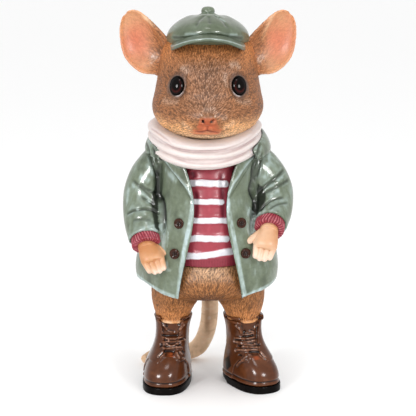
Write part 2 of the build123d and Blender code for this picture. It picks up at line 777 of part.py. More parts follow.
def lace_form(side):
    """The rows of lace of the boot on one side, each from quarter to quarter over the tongue, without the
    crumbs that the cuts leave."""
    quarters, lining = to_side(quarter_form, side), to_side(boot_lining, side)
    rows = []
    for row in range(LACE_ROWS):
        share = LACE_LOW_SHARE + (LACE_HIGH_SHARE - LACE_LOW_SHARE) * row / (LACE_ROWS - 1)
        level = SOLE_THICKNESS + BOOT_HEIGHT * share
        climb = (share - THROAT_LOW_SHARE) / (1 - THROAT_LOW_SHARE)
        reach = THROAT_LOW_HALF_WIDTH + (THROAT_HALF_WIDTH - THROAT_LOW_HALF_WIDTH) * climb + LACE_REACH
        slant = LACE_SLANT if row % 2 else -LACE_SLANT
        first = front_plane(quarters, -reach, level - slant).origin
        last = front_plane(quarters, reach, level + slant).origin
        middle = front_plane(lining, 0, level).offset(LACE_RADIUS).origin
        with BuildPart() as lace:
            with BuildLine():
                run = ThreePointArc(first, middle, last)
            with BuildSketch(Plane(origin=run @ 0, z_dir=run % 0)):
                Circle(LACE_RADIUS)
            sweep()
        rows.append(lace.part)
    with BuildPart() as laces:
        add(rows)
        for drawn in (drawn_quarters, drawn_tongue, drawn_upper):
            add(to_side(drawn.part, side), mode=Mode.SUBTRACT)
    return laces.part.solids().sort_by(SortBy.VOLUME)[-LACE_ROWS:]


boot_pieces = []
for (name, side), toe_out in zip(SIDES, (RIGHT_TOE_OUT, LEFT_TOE_OUT)):
    foot = Location((side * FOOT_SPACING, ANKLE_BACK, 0), (0, 0, side * toe_out))
    for kind, drawn in (("upper", drawn_upper), ("tongue", drawn_tongue), ("quarters", drawn_quarters)):
        with BuildPart() as piece:
            with Locations(foot):
                add(to_side(drawn.part, side))
            add(lower_body.part, mode=Mode.SUBTRACT)
            add(leg_pin_form(side, GLUE_GAP), mode=Mode.SUBTRACT)
        piece.part.label = f"boot_{name}_{kind}"
        boot_pieces.append(piece.part)
    for kind, form in (("laces", lace_form(side)), ("sole", to_side(drawn_sole.part, side))):
        with BuildPart() as piece:
            with Locations(foot):
                add(form)
        piece.part.label = f"boot_{name}_{kind}"
        boot_pieces.append(piece.part)


# Head with nose, eye sockets and the spigot that goes down into the trunk

head_form = oval_body(Plane.XY.offset(NECK_LEVEL), HEAD_HEIGHT, HEAD_SIZES, HEAD_SHARES)
eye_x = HEAD_HALF_WIDTH * EYE_PLACE_SHARES[0]
eye_level = NECK_LEVEL + HEAD_HEIGHT * EYE_PLACE_SHARES[1]
nose_level = NECK_LEVEL + HEAD_HEIGHT * NOSE_LEVEL_SHARE
nose_plane = front_plane(head_form, 0, nose_level)


def eye_form(side):
    """An upright egg set in the head, standing out a little from the fur."""
    seat = front_plane(head_form, side * eye_x, eye_level)
    back = seat.offset(EYE_STAND_OUT - EYE_DEPTH)
    return oval_body(back, EYE_DEPTH, (EYE_HALF_WIDTH, EYE_HALF_HEIGHT, EYE_HALF_HEIGHT), EGG_SHARES)


eyes = {}
for name, side in SIDES:
    with BuildPart() as eye:
        add(eye_form(side))
    eye.part.label = f"eye_{name}"
    eyes[name] = eye.part


def ear_form():
    """The figure's right ear: a dish with a rounded rim and a solid root."""
    turn, lean = radians(EAR_TURN), radians(EAR_LEAN)
    facing = Vector(-sin(turn), -cos(turn), 0)
    along = Vector(-sin(lean) * cos(turn), sin(lean) * sin(turn), cos(lean))
    root = Vector(-HEAD_HALF_WIDTH * EAR_PLACE_SHARE, 0, NECK_LEVEL + HEAD_HEIGHT * EAR_LEVEL_SHARE)
    base = Plane(origin=root - along * EAR_ROOT_DEPTH, x_dir=facing.cross(along), z_dir=along)
    with BuildPart() as ear:
        for place, wide, dish, wall, raised in EAR_SHARES:
            half = EAR_HALF_WIDTH * wide
            aside = -EAR_HALF_WIDTH * raised
            depth = EAR_DISH_DEPTH * dish
            back = depth + EAR_WALL * wall
            inner = half - EAR_RIM
            lip = EAR_RIM / 2
            with BuildSketch(base.offset(EAR_LENGTH * place)):
                with BuildLine():
                    ThreePointArc((aside - half, 0), (aside, -back), (aside + half, 0))
                    ThreePointArc((aside + half, 0), (aside + half - lip, lip), (aside + inner, 0))
                    ThreePointArc((aside + inner, 0), (aside, -depth), (aside - inner, 0))
                    ThreePointArc((aside - inner, 0), (aside - half + lip, lip), (aside - half, 0))
                make_face()
        loft()
    return ear.part


ears = {}
for name, side in SIDES:
    with BuildPart() as ear:
        add(to_side(ear_form(), side))
    ear.part.label = f"ear_{name}"
    ears[name] = ear.part

with BuildPart() as head:
    add(head_form)
    for name, side in SIDES:
        add(eyes[name], mode=Mode.SUBTRACT)
        add(ears[name], mode=Mode.SUBTRACT)
    nose_centre = nose_plane.offset(NOSE_STAND_OUT - NOSE_RADIUS)
    add(spheroid(nose_centre, NOSE_HALF_WIDTH, NOSE_RADIUS))
    add(round_peg(Plane.XY.offset(NECK_LEVEL), NECK_SPIGOT_RADIUS, -NECK_SPIGOT_LENGTH, NECK_SPIGOT_LENGTH))
    for _, side in SIDES:
        nostril_x = side * NOSE_HALF_WIDTH * NOSTRIL_PLACE_SHARE
        nostril = Plane(origin=nose_plane.origin + Vector(nostril_x, 0, 0), z_dir=FRONT)
        add(round_peg(nostril, NOSTRIL_RADIUS, -NOSTRIL_DEPTH, OVERRUN), mode=Mode.SUBTRACT)
head.part.label = "head"

# Cap: a soft crown that overhangs an arched peak, with a covered button on top

cap_lean = radians(CAP_TILT)
cap_plane = Plane(origin=(0, 0, CAP_BASE_LEVEL), x_dir=(1, 0, 0), z_dir=(0, sin(cap_lean), cos(cap_lean)))

with BuildPart() as cap_crown:
    add(oval_body(cap_plane, CAP_HEIGHT, CAP_SIZES, CAP_SHARES))
    add(head_form, mode=Mode.SUBTRACT)
    for ear in ears.values():
        add(ear, mode=Mode.SUBTRACT)
cap_crown.part.label = "cap_crown"

peak_fall = radians(PEAK_SLOPE)
peak_plane = Plane(
    origin=(0, 0, CAP_BASE_LEVEL + PEAK_RISE - PEAK_ARCH_RADIUS),
    x_dir=(1, 0, 0),
    z_dir=(0, -cos(peak_fall), -sin(peak_fall)),
)
peak_lift = PEAK_REACH * sin(peak_fall)

with BuildPart() as cap_peak:
    with BuildSketch(peak_plane):
        with Locations((0, peak_lift)):
            Circle(PEAK_ARCH_RADIUS)
            Circle(PEAK_ARCH_RADIUS - PEAK_THICKNESS, mode=Mode.SUBTRACT)
    extrude(amount=OVERRUN)
    with BuildSketch(Plane.XY.offset(CAP_BASE_LEVEL - CAP_HEIGHT / 2)):
        with Locations((0, -PEAK_REACH * PEAK_HINGE_SHARE)):
            Ellipse(PEAK_HALF_WIDTH, PEAK_REACH * (1 - PEAK_HINGE_SHARE))
            with Locations((0, PEAK_REACH / 2)):
                Rectangle(2 * PEAK_HALF_WIDTH, PEAK_REACH, mode=Mode.SUBTRACT)
    extrude(amount=CAP_HEIGHT + CAP_HEIGHT, mode=Mode.INTERSECT)
    add(head.part, mode=Mode.SUBTRACT)
    add(cap_crown.part, mode=Mode.SUBTRACT)
    for ear in ears.values():
        add(ear, mode=Mode.SUBTRACT)
cap_peak.part.label = "cap_peak"

with BuildPart() as cap_button:
    with BuildSketch(cap_plane.offset(CAP_HEIGHT - CAP_BUTTON_SINK)):
        Circle(CAP_BUTTON_RADIUS)
    extrude(amount=CAP_BUTTON_HEIGHT)
    fillet(cap_button.edges().group_by(Axis.Z)[-1], CAP_BUTTON_HEIGHT * CAP_BUTTON_ROUND_SHARE)
    add(cap_crown.part, mode=Mode.SUBTRACT)
cap_button.part.label = "cap_button"

# Trunk in its jersey, socketed for the hips below and the head above

waist_plane = Plane.XY.offset(WAIST_LEVEL)
neck_plane = Plane.XY.offset(NECK_LEVEL)

with BuildPart() as sweater_torso:
    add(trunk_form(HEM_BAND_RELIEF))
    with BuildSketch(waist_plane):
        Rectangle(OVERRUN + OVERRUN, OVERRUN + OVERRUN)
    extrude(amount=HEM_BAND_HEIGHT, mode=Mode.INTERSECT)
    add(trunk_form())
    socket_top = WAIST_SPIGOT_HEIGHT + GLUE_GAP
    socket_floor = -NECK_SPIGOT_LENGTH - GLUE_GAP
    add(round_peg(waist_plane, WAIST_SPIGOT_RADIUS + GLUE_GAP, -OVERRUN, socket_top), mode=Mode.SUBTRACT)
    add(round_peg(neck_plane, NECK_SPIGOT_RADIUS + GLUE_GAP, socket_floor, OVERRUN), mode=Mode.SUBTRACT)
sweater_torso.part.label = "sweater_torso"

stripe_bands = []
for n in range(STRIPE_COUNT):
    low = WAIST_LEVEL + HEM_BAND_HEIGHT + STRIPE_PITCH * n
    wide = opening_half_width(low + STRIPE_HEIGHT / 2)
    right, left = OPENING_SHIFT - wide, OPENING_SHIFT + wide
    points = [(right, low), (left, low), (left, low + STRIPE_HEIGHT), (right, low + STRIPE_HEIGHT)]
    stripe_bands.append(elevation_prism(points, OVERRUN, 0))

with BuildPart() as stripe_layer:
    add(trunk_form(STRIPE_RELIEF))
    add(trunk_form(), mode=Mode.SUBTRACT)

with BuildPart() as sweater_stripes:
    for band in stripe_bands:
        add(band)
    add(stripe_layer.part, mode=Mode.INTERSECT)
    add(sweater_torso.part, mode=Mode.SUBTRACT)
sweater_stripes.part.label = "sweater_stripes"

# Scarf, wound round the neck in folds that hang lower in front

def scarf_fold(n):
    level = NECK_LEVEL + SCARF_RISE - FOLD_PITCH * n
    fold = ring_body(SCARF_SIZES, level, SCARF_DROP, FOLD_HALF_DEPTH, FOLD_HALF_HEIGHT, SCARF_SHARES)
    return Pos(SCARF_SHIFT, 0, 0) * fold


with BuildPart() as upper_wrap:
    add(scarf_fold(0))
    add(head.part, mode=Mode.SUBTRACT)
    add(sweater_torso.part, mode=Mode.SUBTRACT)
upper_wrap.part.label = "scarf_upper_wrap"

with BuildPart() as lower_wrap:
    for n in range(1, LOWER_FOLDS + 1):
        add(scarf_fold(n))
    add(scarf_fold(0), mode=Mode.SUBTRACT)
    add(head.part, mode=Mode.SUBTRACT)
    add(sweater_torso.part, mode=Mode.SUBTRACT)
lower_wrap.part.label = "scarf_lower_wrap"

# Collar, folded down over the shoulders of the coat and open in front

coat_solid = coat_form()

with BuildPart() as coat_collar:
    add(
        ring_body(
            COLLAR_SIZES,
            NECK_LEVEL,
            COLLAR_DROP,
            COLLAR_HALF_THICKNESS,
            COLLAR_HALF_HEIGHT,
            COLLAR_SHARES,
            COLLAR_LEAN,
        )
    )
    add(coat_solid, mode=Mode.SUBTRACT)
    add(upper_wrap.part, mode=Mode.SUBTRACT)
    add(lower_wrap.part, mode=Mode.SUBTRACT)
coat_collar.part.label = "coat_collar"

# Arms. Each is drawn on the figure's right, wrist height and aim apart, then mirrored to its side.

def arm_points(lift):
    points = []
    for out, ahead, down, _ in ARM_SHARES:
        level = SHOULDER_LEVEL - ARM_DROP * down + lift * down * down
        points.append(Vector(-SHOULDER_HALF_WIDTH - ARM_SPREAD * out, -ARM_REACH * ahead, level))
    return points


def shoulder_tenon(grow=0):
    """The round peg that runs down from inside the coat's shoulder into the sleeve."""
    top, below, *_ = arm_points(0)
    plane = Plane(origin=top, z_dir=below - top)
    return round_peg(plane, SHOULDER_TENON_RADIUS + grow, -grow, (below - top).length)


def hand_form(wrist, aim):
    """A mitten of a palm with four short fingers curled inwards and a thumb on the inner side."""
    inward, ahead, down = aim
    along = Vector(inward, -ahead, -down).normalized()
    across = (Vector(1, 0, 0) - along * along.X).normalized()
    base = Plane(origin=wrist.origin, x_dir=across, z_dir=along)
    palm_sizes = (PALM_HALF_WIDTH, PALM_HALF_THICKNESS, PALM_HALF_THICKNESS)
    with BuildPart() as hand:
        add(oval_body(base, PALM_LENGTH, palm_sizes, PALM_SHARES))
        for place, length_share in FINGER_SHARES:
            knuckle = Vector(PALM_HALF_WIDTH * place, 0, PALM_LENGTH * KNUCKLE_SHARE)
            length = FINGER_LENGTH * length_share
            tip_x = knuckle.X * FINGER_CLOSE_SHARE
            tip = Vector(tip_x, -length * FINGER_CURL_SHARE, PALM_LENGTH + length)
            start, end = base.from_local_coords(knuckle), base.from_local_coords(tip)
            add(capsule(start, end, FINGER_RADIUS, FINGER_RADIUS * FINGERTIP_SHARE))
        across_share, along_share = THUMB_ROOT_SHARES
        thumb_root = Vector(PALM_HALF_WIDTH * across_share, 0, PALM_LENGTH * along_share)
        thumb_tip = thumb_root + Vector(*THUMB_AIM_SHARES) * THUMB_LENGTH
        start, end = base.from_local_coords(thumb_root), base.from_local_coords(thumb_tip)
        add(capsule(start, end, THUMB_RADIUS, THUMB_RADIUS * FINGERTIP_SHARE))
        add(round_peg(wrist, WRIST_RADIUS, -WRIST_TENON_LENGTH, WRIST_LENGTH))
    return hand.part


arm_pieces = []
for (name, side), lift, aim in zip(SIDES, (0, LEFT_WRIST_LIFT), (RIGHT_AIM_SHARES, LEFT_AIM_SHARES)):
    points = arm_points(lift)
    radii = [SLEEVE_RADIUS * size for *_, size in ARM_SHARES]
    cuff_plane = curve_planes(points, ARM_STATIONS)[-1]
    cuff_radius = SLEEVE_RADIUS * ARM_SHARES[-1][3] - SLEEVE_HEM_WALL
    cuff_end = CUFF_LENGTH - SLEEVE_HEM_DEPTH
    with BuildPart() as sleeve:
        add(curved_tube(points, radii, ARM_STATIONS))
        add(coat_solid, mode=Mode.SUBTRACT)
        add(to_side(coat_collar.part, side), mode=Mode.SUBTRACT)
        add(to_side(lower_wrap.part, side), mode=Mode.SUBTRACT)
        add(shoulder_tenon())
        add(round_peg(cuff_plane, cuff_radius, -SLEEVE_HEM_DEPTH, OVERRUN), mode=Mode.SUBTRACT)
    with BuildPart() as cuff:
        add(round_peg(cuff_plane, cuff_radius, -SLEEVE_HEM_DEPTH, cuff_end))
        add(coat_solid, mode=Mode.SUBTRACT)
    with BuildPart() as hand:
        add(hand_form(cuff_plane.offset(cuff_end), aim))
        add(coat_solid, mode=Mode.SUBTRACT)
    with BuildPart() as bored_cuff:
        add(cuff.part)
        add(hand.part, mode=Mode.SUBTRACT)
    for kind, piece in (("sleeve", sleeve), ("cuff", bored_cuff), ("hand", hand)):
        with BuildPart() as placed:
            add(to_side(piece.part, side))
        placed.part.label = f"{kind}_{name}"
        arm_pieces.append(placed.part)

# Coat: hollow below the chest, solid at the shoulders where it sits on the trunk

with BuildPart() as coat_cavity:
    add(coat_form(-COAT_WALL))
    with BuildSketch(Plane.XY.offset(COAT_HEM_LEVEL + COAT_HEIGHT * COAT_CAVITY_SHARE)):
        Rectangle(OVERRUN + OVERRUN, OVERRUN + OVERRUN)
    extrude(amount=-COAT_HEIGHT, mode=Mode.INTERSECT)
opening = opening_prism()


def lapel_prism(side):
    """The lapel on the front elevation: up the coat's edge from the chest, out to the notch, and back in."""
    foot = COAT_HEM_LEVEL + COAT_HEIGHT * LAPEL_FOOT_SHARE
    notch = COAT_HEM_LEVEL + COAT_HEIGHT * LAPEL_NOTCH_SHARE
    top = COAT_HEM_LEVEL + COAT_HEIGHT * LAPEL_TOP_SHARE
    edge = OPENING_CHEST_HALF_WIDTH
    inner = edge / 2
    middle = (foot + notch) / 2
    with BuildPart() as prism:
        with BuildSketch(Plane.XZ):
            with BuildLine():
                Spline(
                    (side * inner, foot),
                    (side * (edge + LAPEL_WIDTH * LAPEL_MIDDLE_SHARE), middle),
                    (side * (edge + LAPEL_WIDTH), notch),
                )
                Polyline((side * (edge + LAPEL_WIDTH), notch), (side * edge, top), (side * inner, foot))
            make_face()
        extrude(amount=OVERRUN)
    return Pos(OPENING_SHIFT, 0, 0) * prism.part


lapels = {}
for name, side in SIDES:
    with BuildPart() as lapel:
        add(coat_form(LAPEL_THICKNESS))
        add(lapel_prism(side), mode=Mode.INTERSECT)
        add(coat_solid, mode=Mode.SUBTRACT)
        add(opening, mode=Mode.SUBTRACT)
        add(lower_wrap.part, mode=Mode.SUBTRACT)
        add(coat_collar.part, mode=Mode.SUBTRACT)
    lapel.part.label = f"lapel_{name}"
    lapels[name] = lapel.part

coat_buttons = []
for name, side in SIDES:
    for n, share in enumerate(BUTTON_LEVEL_SHARES, start=1):
        level = COAT_HEM_LEVEL + COAT_HEIGHT * share
        place = opening_half_width(level) + BUTTON_EDGE_GAP + BUTTON_RADIUS
        seat = front_plane(coat_solid, OPENING_SHIFT + side * place, level)
        with BuildPart() as button:
            with BuildSketch(seat.offset(-BUTTON_SEAT_DEPTH)):
                Circle(BUTTON_RADIUS)
            extrude(amount=BUTTON_THICKNESS)
            rim = button.edges().filter_by(GeomType.CIRCLE).sort_by(lambda edge: edge.arc_center.Y)[0]
            fillet(rim, BUTTON_THICKNESS * BUTTON_ROUND_SHARE)
        button.part.label = f"coat_button_{name}_{n}"
        coat_buttons.append(button.part)

with BuildPart() as cut_coat:
    add(coat_solid)
    add(coat_cavity.part, mode=Mode.SUBTRACT)
    add(opening, mode=Mode.SUBTRACT)
    add(hem_prism(), mode=Mode.INTERSECT)
    add(trunk_form(), mode=Mode.SUBTRACT)
    add(lower_wrap.part, mode=Mode.SUBTRACT)
    for button in coat_buttons:
        add(button, mode=Mode.SUBTRACT)
    for _, side in SIDES:
        add(to_side(shoulder_tenon(GLUE_GAP), side), mode=Mode.SUBTRACT)

with BuildPart() as coat_body:
    add(cut_coat.part.solids().sort_by(SortBy.VOLUME)[-1])
coat_body.part.label = "coat_body"

pieces = [tail_wire.part, tail.part, lower_body.part, *leg_pins.values(), *boot_pieces]
pieces += [head.part, *eyes.values(), *ears.values(), cap_crown.part, cap_peak.part, cap_button.part]
pieces += [sweater_torso.part, sweater_stripes.part, upper_wrap.part, lower_wrap.part]
pieces += [*arm_pieces, *lapels.values(), *coat_buttons, coat_body.part, coat_collar.part]

os.makedirs("parts", exist_ok=True)
for piece in pieces:
    print(piece.label, len(piece.solids()), [round(solid.volume) for solid in piece.solids()], piece.is_valid)
    export_step(piece, f"parts/{piece.label}.step")
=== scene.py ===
# Looks of the mouse figurine: a cast and carved ornament, painted by hand and varnished.
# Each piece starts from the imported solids, is carved as arrays of points in millimetres, and is painted by
# point. Right and left are the figure's own sides, so its right hand lies towards -X.
# A table whose name ends in PX holds lines traced on the photograph. Each line is written as its pixels,
# across and down in turn. The numbers after a line are in millimetres.

from math import cos, pi, radians, sin

import bmesh
import bpy
import numpy as np
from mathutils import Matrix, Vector
from mathutils.bvhtree import BVHTree
from mathutils.kdtree import KDTree


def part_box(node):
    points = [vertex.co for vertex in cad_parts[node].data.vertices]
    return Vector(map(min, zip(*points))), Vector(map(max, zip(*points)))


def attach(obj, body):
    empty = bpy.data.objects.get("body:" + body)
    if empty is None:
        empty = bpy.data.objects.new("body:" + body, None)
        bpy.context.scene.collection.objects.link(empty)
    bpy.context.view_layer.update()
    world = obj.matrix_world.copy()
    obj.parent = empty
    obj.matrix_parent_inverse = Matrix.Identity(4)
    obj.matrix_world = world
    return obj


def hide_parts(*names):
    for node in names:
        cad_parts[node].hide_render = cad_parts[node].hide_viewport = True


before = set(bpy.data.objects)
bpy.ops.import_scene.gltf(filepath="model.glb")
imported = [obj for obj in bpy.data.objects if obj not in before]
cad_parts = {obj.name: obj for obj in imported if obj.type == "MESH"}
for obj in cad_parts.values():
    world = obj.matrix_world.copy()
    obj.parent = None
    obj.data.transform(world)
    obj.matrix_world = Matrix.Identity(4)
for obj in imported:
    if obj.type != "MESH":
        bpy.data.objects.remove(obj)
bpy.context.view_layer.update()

MM = 0.001
SIDES = (("right", -1), ("left", 1))

# The photograph's camera, in millimetres and in pixels of its 416 x 416 frame
CAMERA_PLACE = Vector((0, -780, 262))
CAMERA_AIM = Vector((0, 0, 104))
FOCAL_PX = 1390
FRAME_PX = 416
SENSOR = 36.0

# Lights, in metres and watts: place, size, power, and whether only the varnish shows them
LIGHT_AIM = Vector((0, 0, 0.11))
LIGHTS = {
    "key_box": ((-0.50, -0.80, 0.44), (0.13, 0.13), 2.2, False),
    "fill_box": ((0.50, -0.80, 0.44), (0.13, 0.13), 1.8, False),
    "top_box": ((0.0, -0.35, 0.85), (0.24, 0.18), 1.2, False),
    "key_gloss": ((-0.50, -0.80, 0.44), (0.30, 0.30), 11, True),
    "fill_gloss": ((0.50, -0.80, 0.44), (0.30, 0.30), 9, True),
}
FLOOR_HALF = 8
FLOOR_COLOUR = (0.96, 0.96, 0.96, 1)


# Small tools for arrays

def unit(vectors):
    return vectors / np.maximum(np.linalg.norm(vectors, axis=-1, keepdims=True), 1e-9)


def step(values, start, end):
    """A smooth step from 0 at start to 1 at end, which may be the lower of the two."""
    share = np.clip((values - start) / (end - start), 0, 1)
    return share * share * (3 - 2 * share)


def hump(values, centre, half):
    """1 at centre, falling smoothly to 0 at half the width to each side."""
    return 1 - step(np.abs(values - centre), 0, half)


# Whole numbers that scramble a cell's place and the seed into a value
CELL_KEYS = (73856093, 19349663, 83492791)
SEED_KEY = 26544357
MIX_KEY = 12741261


def noise(points, size, seed=0):
    """Smooth noise from -1 to 1 that changes over about size millimetres. size may differ by axis."""
    scaled = points / np.asarray(size, float) + 57.3 + 11.7 * seed
    cell = np.floor(scaled).astype(np.int64)
    part = scaled - cell
    part = part * part * (3 - 2 * part)
    total = np.zeros(len(points))
    for corner in np.ndindex(2, 2, 2):
        x, y, z = (cell + np.array(corner)).T * np.array(CELL_KEYS)[:, None]
        mixed = x ^ y ^ z ^ (seed * SEED_KEY)
        mixed = ((mixed ^ (mixed >> 13)) * MIX_KEY) & 0xFFFFFF
        value = ((mixed ^ (mixed >> 9)) & 0xFFFF) / 32767.5 - 1
        weight = np.prod(np.where(np.array(corner) == 1, part, 1 - part), axis=1)
        total += value * weight
    return total


def layered_noise(points, size, seed=0):
    return (noise(points, size, seed) + 0.5 * noise(points, np.asarray(size) / 2.1, seed + 1)) / 1.3


def tone(red, green, blue):
    """A paint from its screen values, 0 to 255."""
    return np.array([red, green, blue], float) / 255


def smooth_line(points, count=6):
    """A denser line through the same points, rounded at each."""
    points = np.asarray(points, float)
    padded = np.vstack([2 * points[0] - points[1], points, 2 * points[-1] - points[-2]])
    line = []
    for a, b, c, d in zip(padded, padded[1:], padded[2:], padded[3:]):
        for n in range(count):
            t = n / count
            bow = (2 * a - 5 * b + 4 * c - d) * t * t
            twist = (3 * b - a - 3 * c + d) * t ** 3
            line.append(0.5 * (2 * b + (c - a) * t + bow + twist))
    line.append(points[-1])
    return np.array(line)


def pixel_ray(u, v):
    """The direction from the camera through a pixel of the photograph."""
    forward = (CAMERA_AIM - CAMERA_PLACE).normalized()
    right = Vector((1, 0, 0))
    up = right.cross(forward)
    middle = FRAME_PX / 2
    return (forward * FOCAL_PX + right * (u - middle) + up * (middle - v)).normalized()


def middle_of(name):
    """The middle of a CAD node's box, in millimetres."""
    low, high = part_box(name)
    return np.array((low + high) / 2) / MM


# Objects and meshes

def new_object(name, data):
    obj = bpy.data.objects.new(name, data)
    bpy.context.scene.collection.objects.link(obj)
    return obj


def keep_paint(mesh, paint):
    """Stores screen values as the linear colours of a mesh's points, which its material reads."""
    linear = np.where(paint > 0.04045, ((paint + 0.055) / 1.055) ** 2.4, paint / 12.92)
    shades = np.concatenate([np.clip(linear, 0, 1), np.ones((len(linear), 1))], axis=1)
    attribute = mesh.color_attributes.new("paint", "FLOAT_COLOR", "POINT")
    attribute.data.foreach_set("color", shades.astype(np.float32).ravel())


def placed(name, mesh, material, slot, *replaced):
    """Links a finished mesh as a piece of the figurine that stands for CAD nodes."""
    obj = new_object(name, mesh)
    mesh.materials.append(material)
    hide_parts(*replaced)
    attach(obj, "root")


def joined_mesh(names, grow):
    """One mesh, in millimetres, of copies of CAD nodes, each grown a little so that they run together."""
    bm = bmesh.new()
    for name in names:
        bm.from_mesh(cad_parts[name].data)
    bmesh.ops.scale(bm, vec=(1 / MM, 1 / MM, 1 / MM), verts=bm.verts)
    bmesh.ops.remove_doubles(bm, verts=bm.verts, dist=0.002)
    bmesh.ops.recalc_face_normals(bm, faces=bm.faces)
    bm.normal_update()
    if grow:
        for vert in bm.verts:
            vert.co += vert.normal * grow
    mesh = bpy.data.meshes.new("joined")
    bm.to_mesh(mesh)
    bm.free()
    return mesh


# Skins: closed surfaces worked on as arrays

STROKE_REACH = 2.6


class Skin:
    """A closed surface as arrays in millimetres, with the paint of each of its points."""

    def __init__(self, mesh):
        count = len(mesh.vertices)
        self.points = np.empty(count * 3)
        mesh.vertices.foreach_get("co", self.points)
        self.points = self.points.reshape(-1, 3)
        self.quads = np.empty(len(mesh.loops), np.int64)
        mesh.loops.foreach_get("vertex_index", self.quads)
        self.quads = self.quads.reshape(-1, 4)
        self.edges = np.empty(len(mesh.edges) * 2, np.int64)
        mesh.edges.foreach_get("vertices", self.edges)
        self.edges = self.edges.reshape(-1, 2)
        self.valence = np.bincount(self.edges.ravel(), minlength=count)
        self.paint = np.ones((count, 3))
        self.update()

    def update(self):
        """Works out the normals again after the points have moved."""
        corners = [self.points[self.quads[:, n]] for n in range(4)]
        across = np.cross(corners[2] - corners[0], corners[3] - corners[1])
        normals = np.zeros_like(self.points)
        for corner in range(4):
            for axis in range(3):
                normals[:, axis] += np.bincount(self.quads[:, corner], across[:, axis], len(self.points))
        self.area = np.linalg.norm(across, axis=1).sum() / 2
        self.normals = unit(normals)
        self.tree = None

    def blurred(self, values, rounds):
        """Values spread over their neighbours some rounds."""
        values = np.array(values, float)
        if values.ndim == 2:
            return np.stack([self.blurred(column, rounds) for column in values.T], axis=1)
        a, b = self.edges.T
        for _ in range(rounds):
            total = np.bincount(a, values[b], len(values)) + np.bincount(b, values[a], len(values))
            values = 0.5 * values + 0.5 * total / self.valence
        return values

    def lift(self, amounts):
        """Moves the points out along their normals by amounts in millimetres."""
        self.points += self.normals * np.broadcast_to(amounts, len(self.points))[:, None]
        self.update()

    def hollows(self, rounds, scale):
        """How far each point lies in a hollow, positive, or on a ridge, negative, from -1 to 1."""
        flat = ((self.blurred(self.points, rounds) - self.points) * self.normals).sum(axis=1)
        return np.clip(flat / scale, -1, 1)

    def grain(self, size, seed):
        return noise(self.points, size, seed)

    def cloud(self, size, seed):
        return layered_noise(self.points, size, seed)

    def seen(self, pixels):
        """The line on this skin that the photograph shows at these pixels."""
        if self.tree is None:
            self.tree = BVHTree.FromPolygons(self.points.tolist(), self.quads.tolist())
        line = []
        for u, v in smooth_line(np.reshape(pixels, (-1, 2))):
            place = self.tree.ray_cast(CAMERA_PLACE, pixel_ray(u, v))[0]
            if place is not None:
                line.append(place)
        return np.array(line) if len(line) > 1 else np.full((2, 3), 1e6)

    def reach(self, line, limit):
        """Each point's distance from a line, up to limit, and the place along it, from 0 to 1."""
        distance = np.full(len(self.points), float(limit))
        place = np.zeros(len(self.points))
        inside = np.all((self.points > line.min(0) - limit) & (self.points < line.max(0) + limit), axis=1)
        chosen = np.flatnonzero(inside)
        points = self.points[chosen]
        lengths = np.linalg.norm(line[1:] - line[:-1], axis=1)
        starts = np.concatenate([[0], np.cumsum(lengths)])
        for n, (start, end) in enumerate(zip(line, line[1:])):
            run = end - start
            share = np.clip((points - start) @ run / max(run @ run, 1e-9), 0, 1)
            gap = np.linalg.norm(points - start - share[:, None] * run, axis=1)
            nearer = gap < distance[chosen]
            distance[chosen[nearer]] = gap[nearer]
            place[chosen[nearer]] = (starts[n] + share[nearer] * lengths[n]) / starts[-1]
        return distance, place

    def line_mask(self, line, width, taper=0.15):
        """A soft stroke of the given half width along a line, thinning at both ends."""
        distance, place = self.reach(line, width * STROKE_REACH)
        ends = np.clip(np.minimum(place, 1 - place) / max(taper, 1e-3), 0, 1) ** 0.6
        return np.exp(-((distance / width) ** 2)) * ends * (distance < width * STROKE_REACH)

    def stroke(self, pixels, width, taper=0.15):
        """A soft stroke along the line at these pixels."""
        return self.line_mask(self.seen(pixels), width, taper)

    def strokes(self, lines, width, taper=0.15):
        """Soft strokes along several lines of pixels, added up."""
        return sum(self.stroke(line, width, taper) for line in lines)

    def band(self, pixels, half):
        """1 within half millimetres of the line at these pixels, with a soft edge."""
        distance, _ = self.reach(self.seen(pixels), half + 0.6)
        return step(distance, half + 0.5, half - 0.7)

    def cover(self, colour, mask=1.0):
        """Lays a paint over the skin where mask is 1."""
        mask = np.clip(np.broadcast_to(mask, len(self.points)), 0, 1)[:, None]
        self.paint = self.paint + (colour - self.paint) * mask

    def piece(self, name, material, slot, *replaced):
        """Makes the skin into an object that stands for CAD nodes."""
        mesh = bpy.data.meshes.new(name)
        mesh.from_pydata((self.points * MM).tolist(), [], self.quads.tolist())
        mesh.shade_smooth()
        keep_paint(mesh, self.paint)
        placed(name, mesh, PAINTS[material], slot, *replaced)


def skin_of(names, voxel, rounds, grow=0.0):
    """The skin of CAD nodes run together, as quads of about voxel millimetres, evened out some rounds."""
    obj = new_object("work", joined_mesh(names, grow))
    remesh = obj.modifiers.new("even", "REMESH")
    remesh.mode = "VOXEL"
    remesh.voxel_size = voxel
    bpy.context.view_layer.update()
    mesh = bpy.data.meshes.new_from_object(obj.evaluated_get(bpy.context.evaluated_depsgraph_get()))
    bpy.data.objects.remove(obj)
    skin = Skin(mesh)
    skin.points += skin.blurred(skin.points, rounds) - skin.points
    skin.update()
    return skin


# Carved fur

NEAR_STROKES = 9
BARE_HEIGHT = 0.3
CREST_LEVEL = 0.4


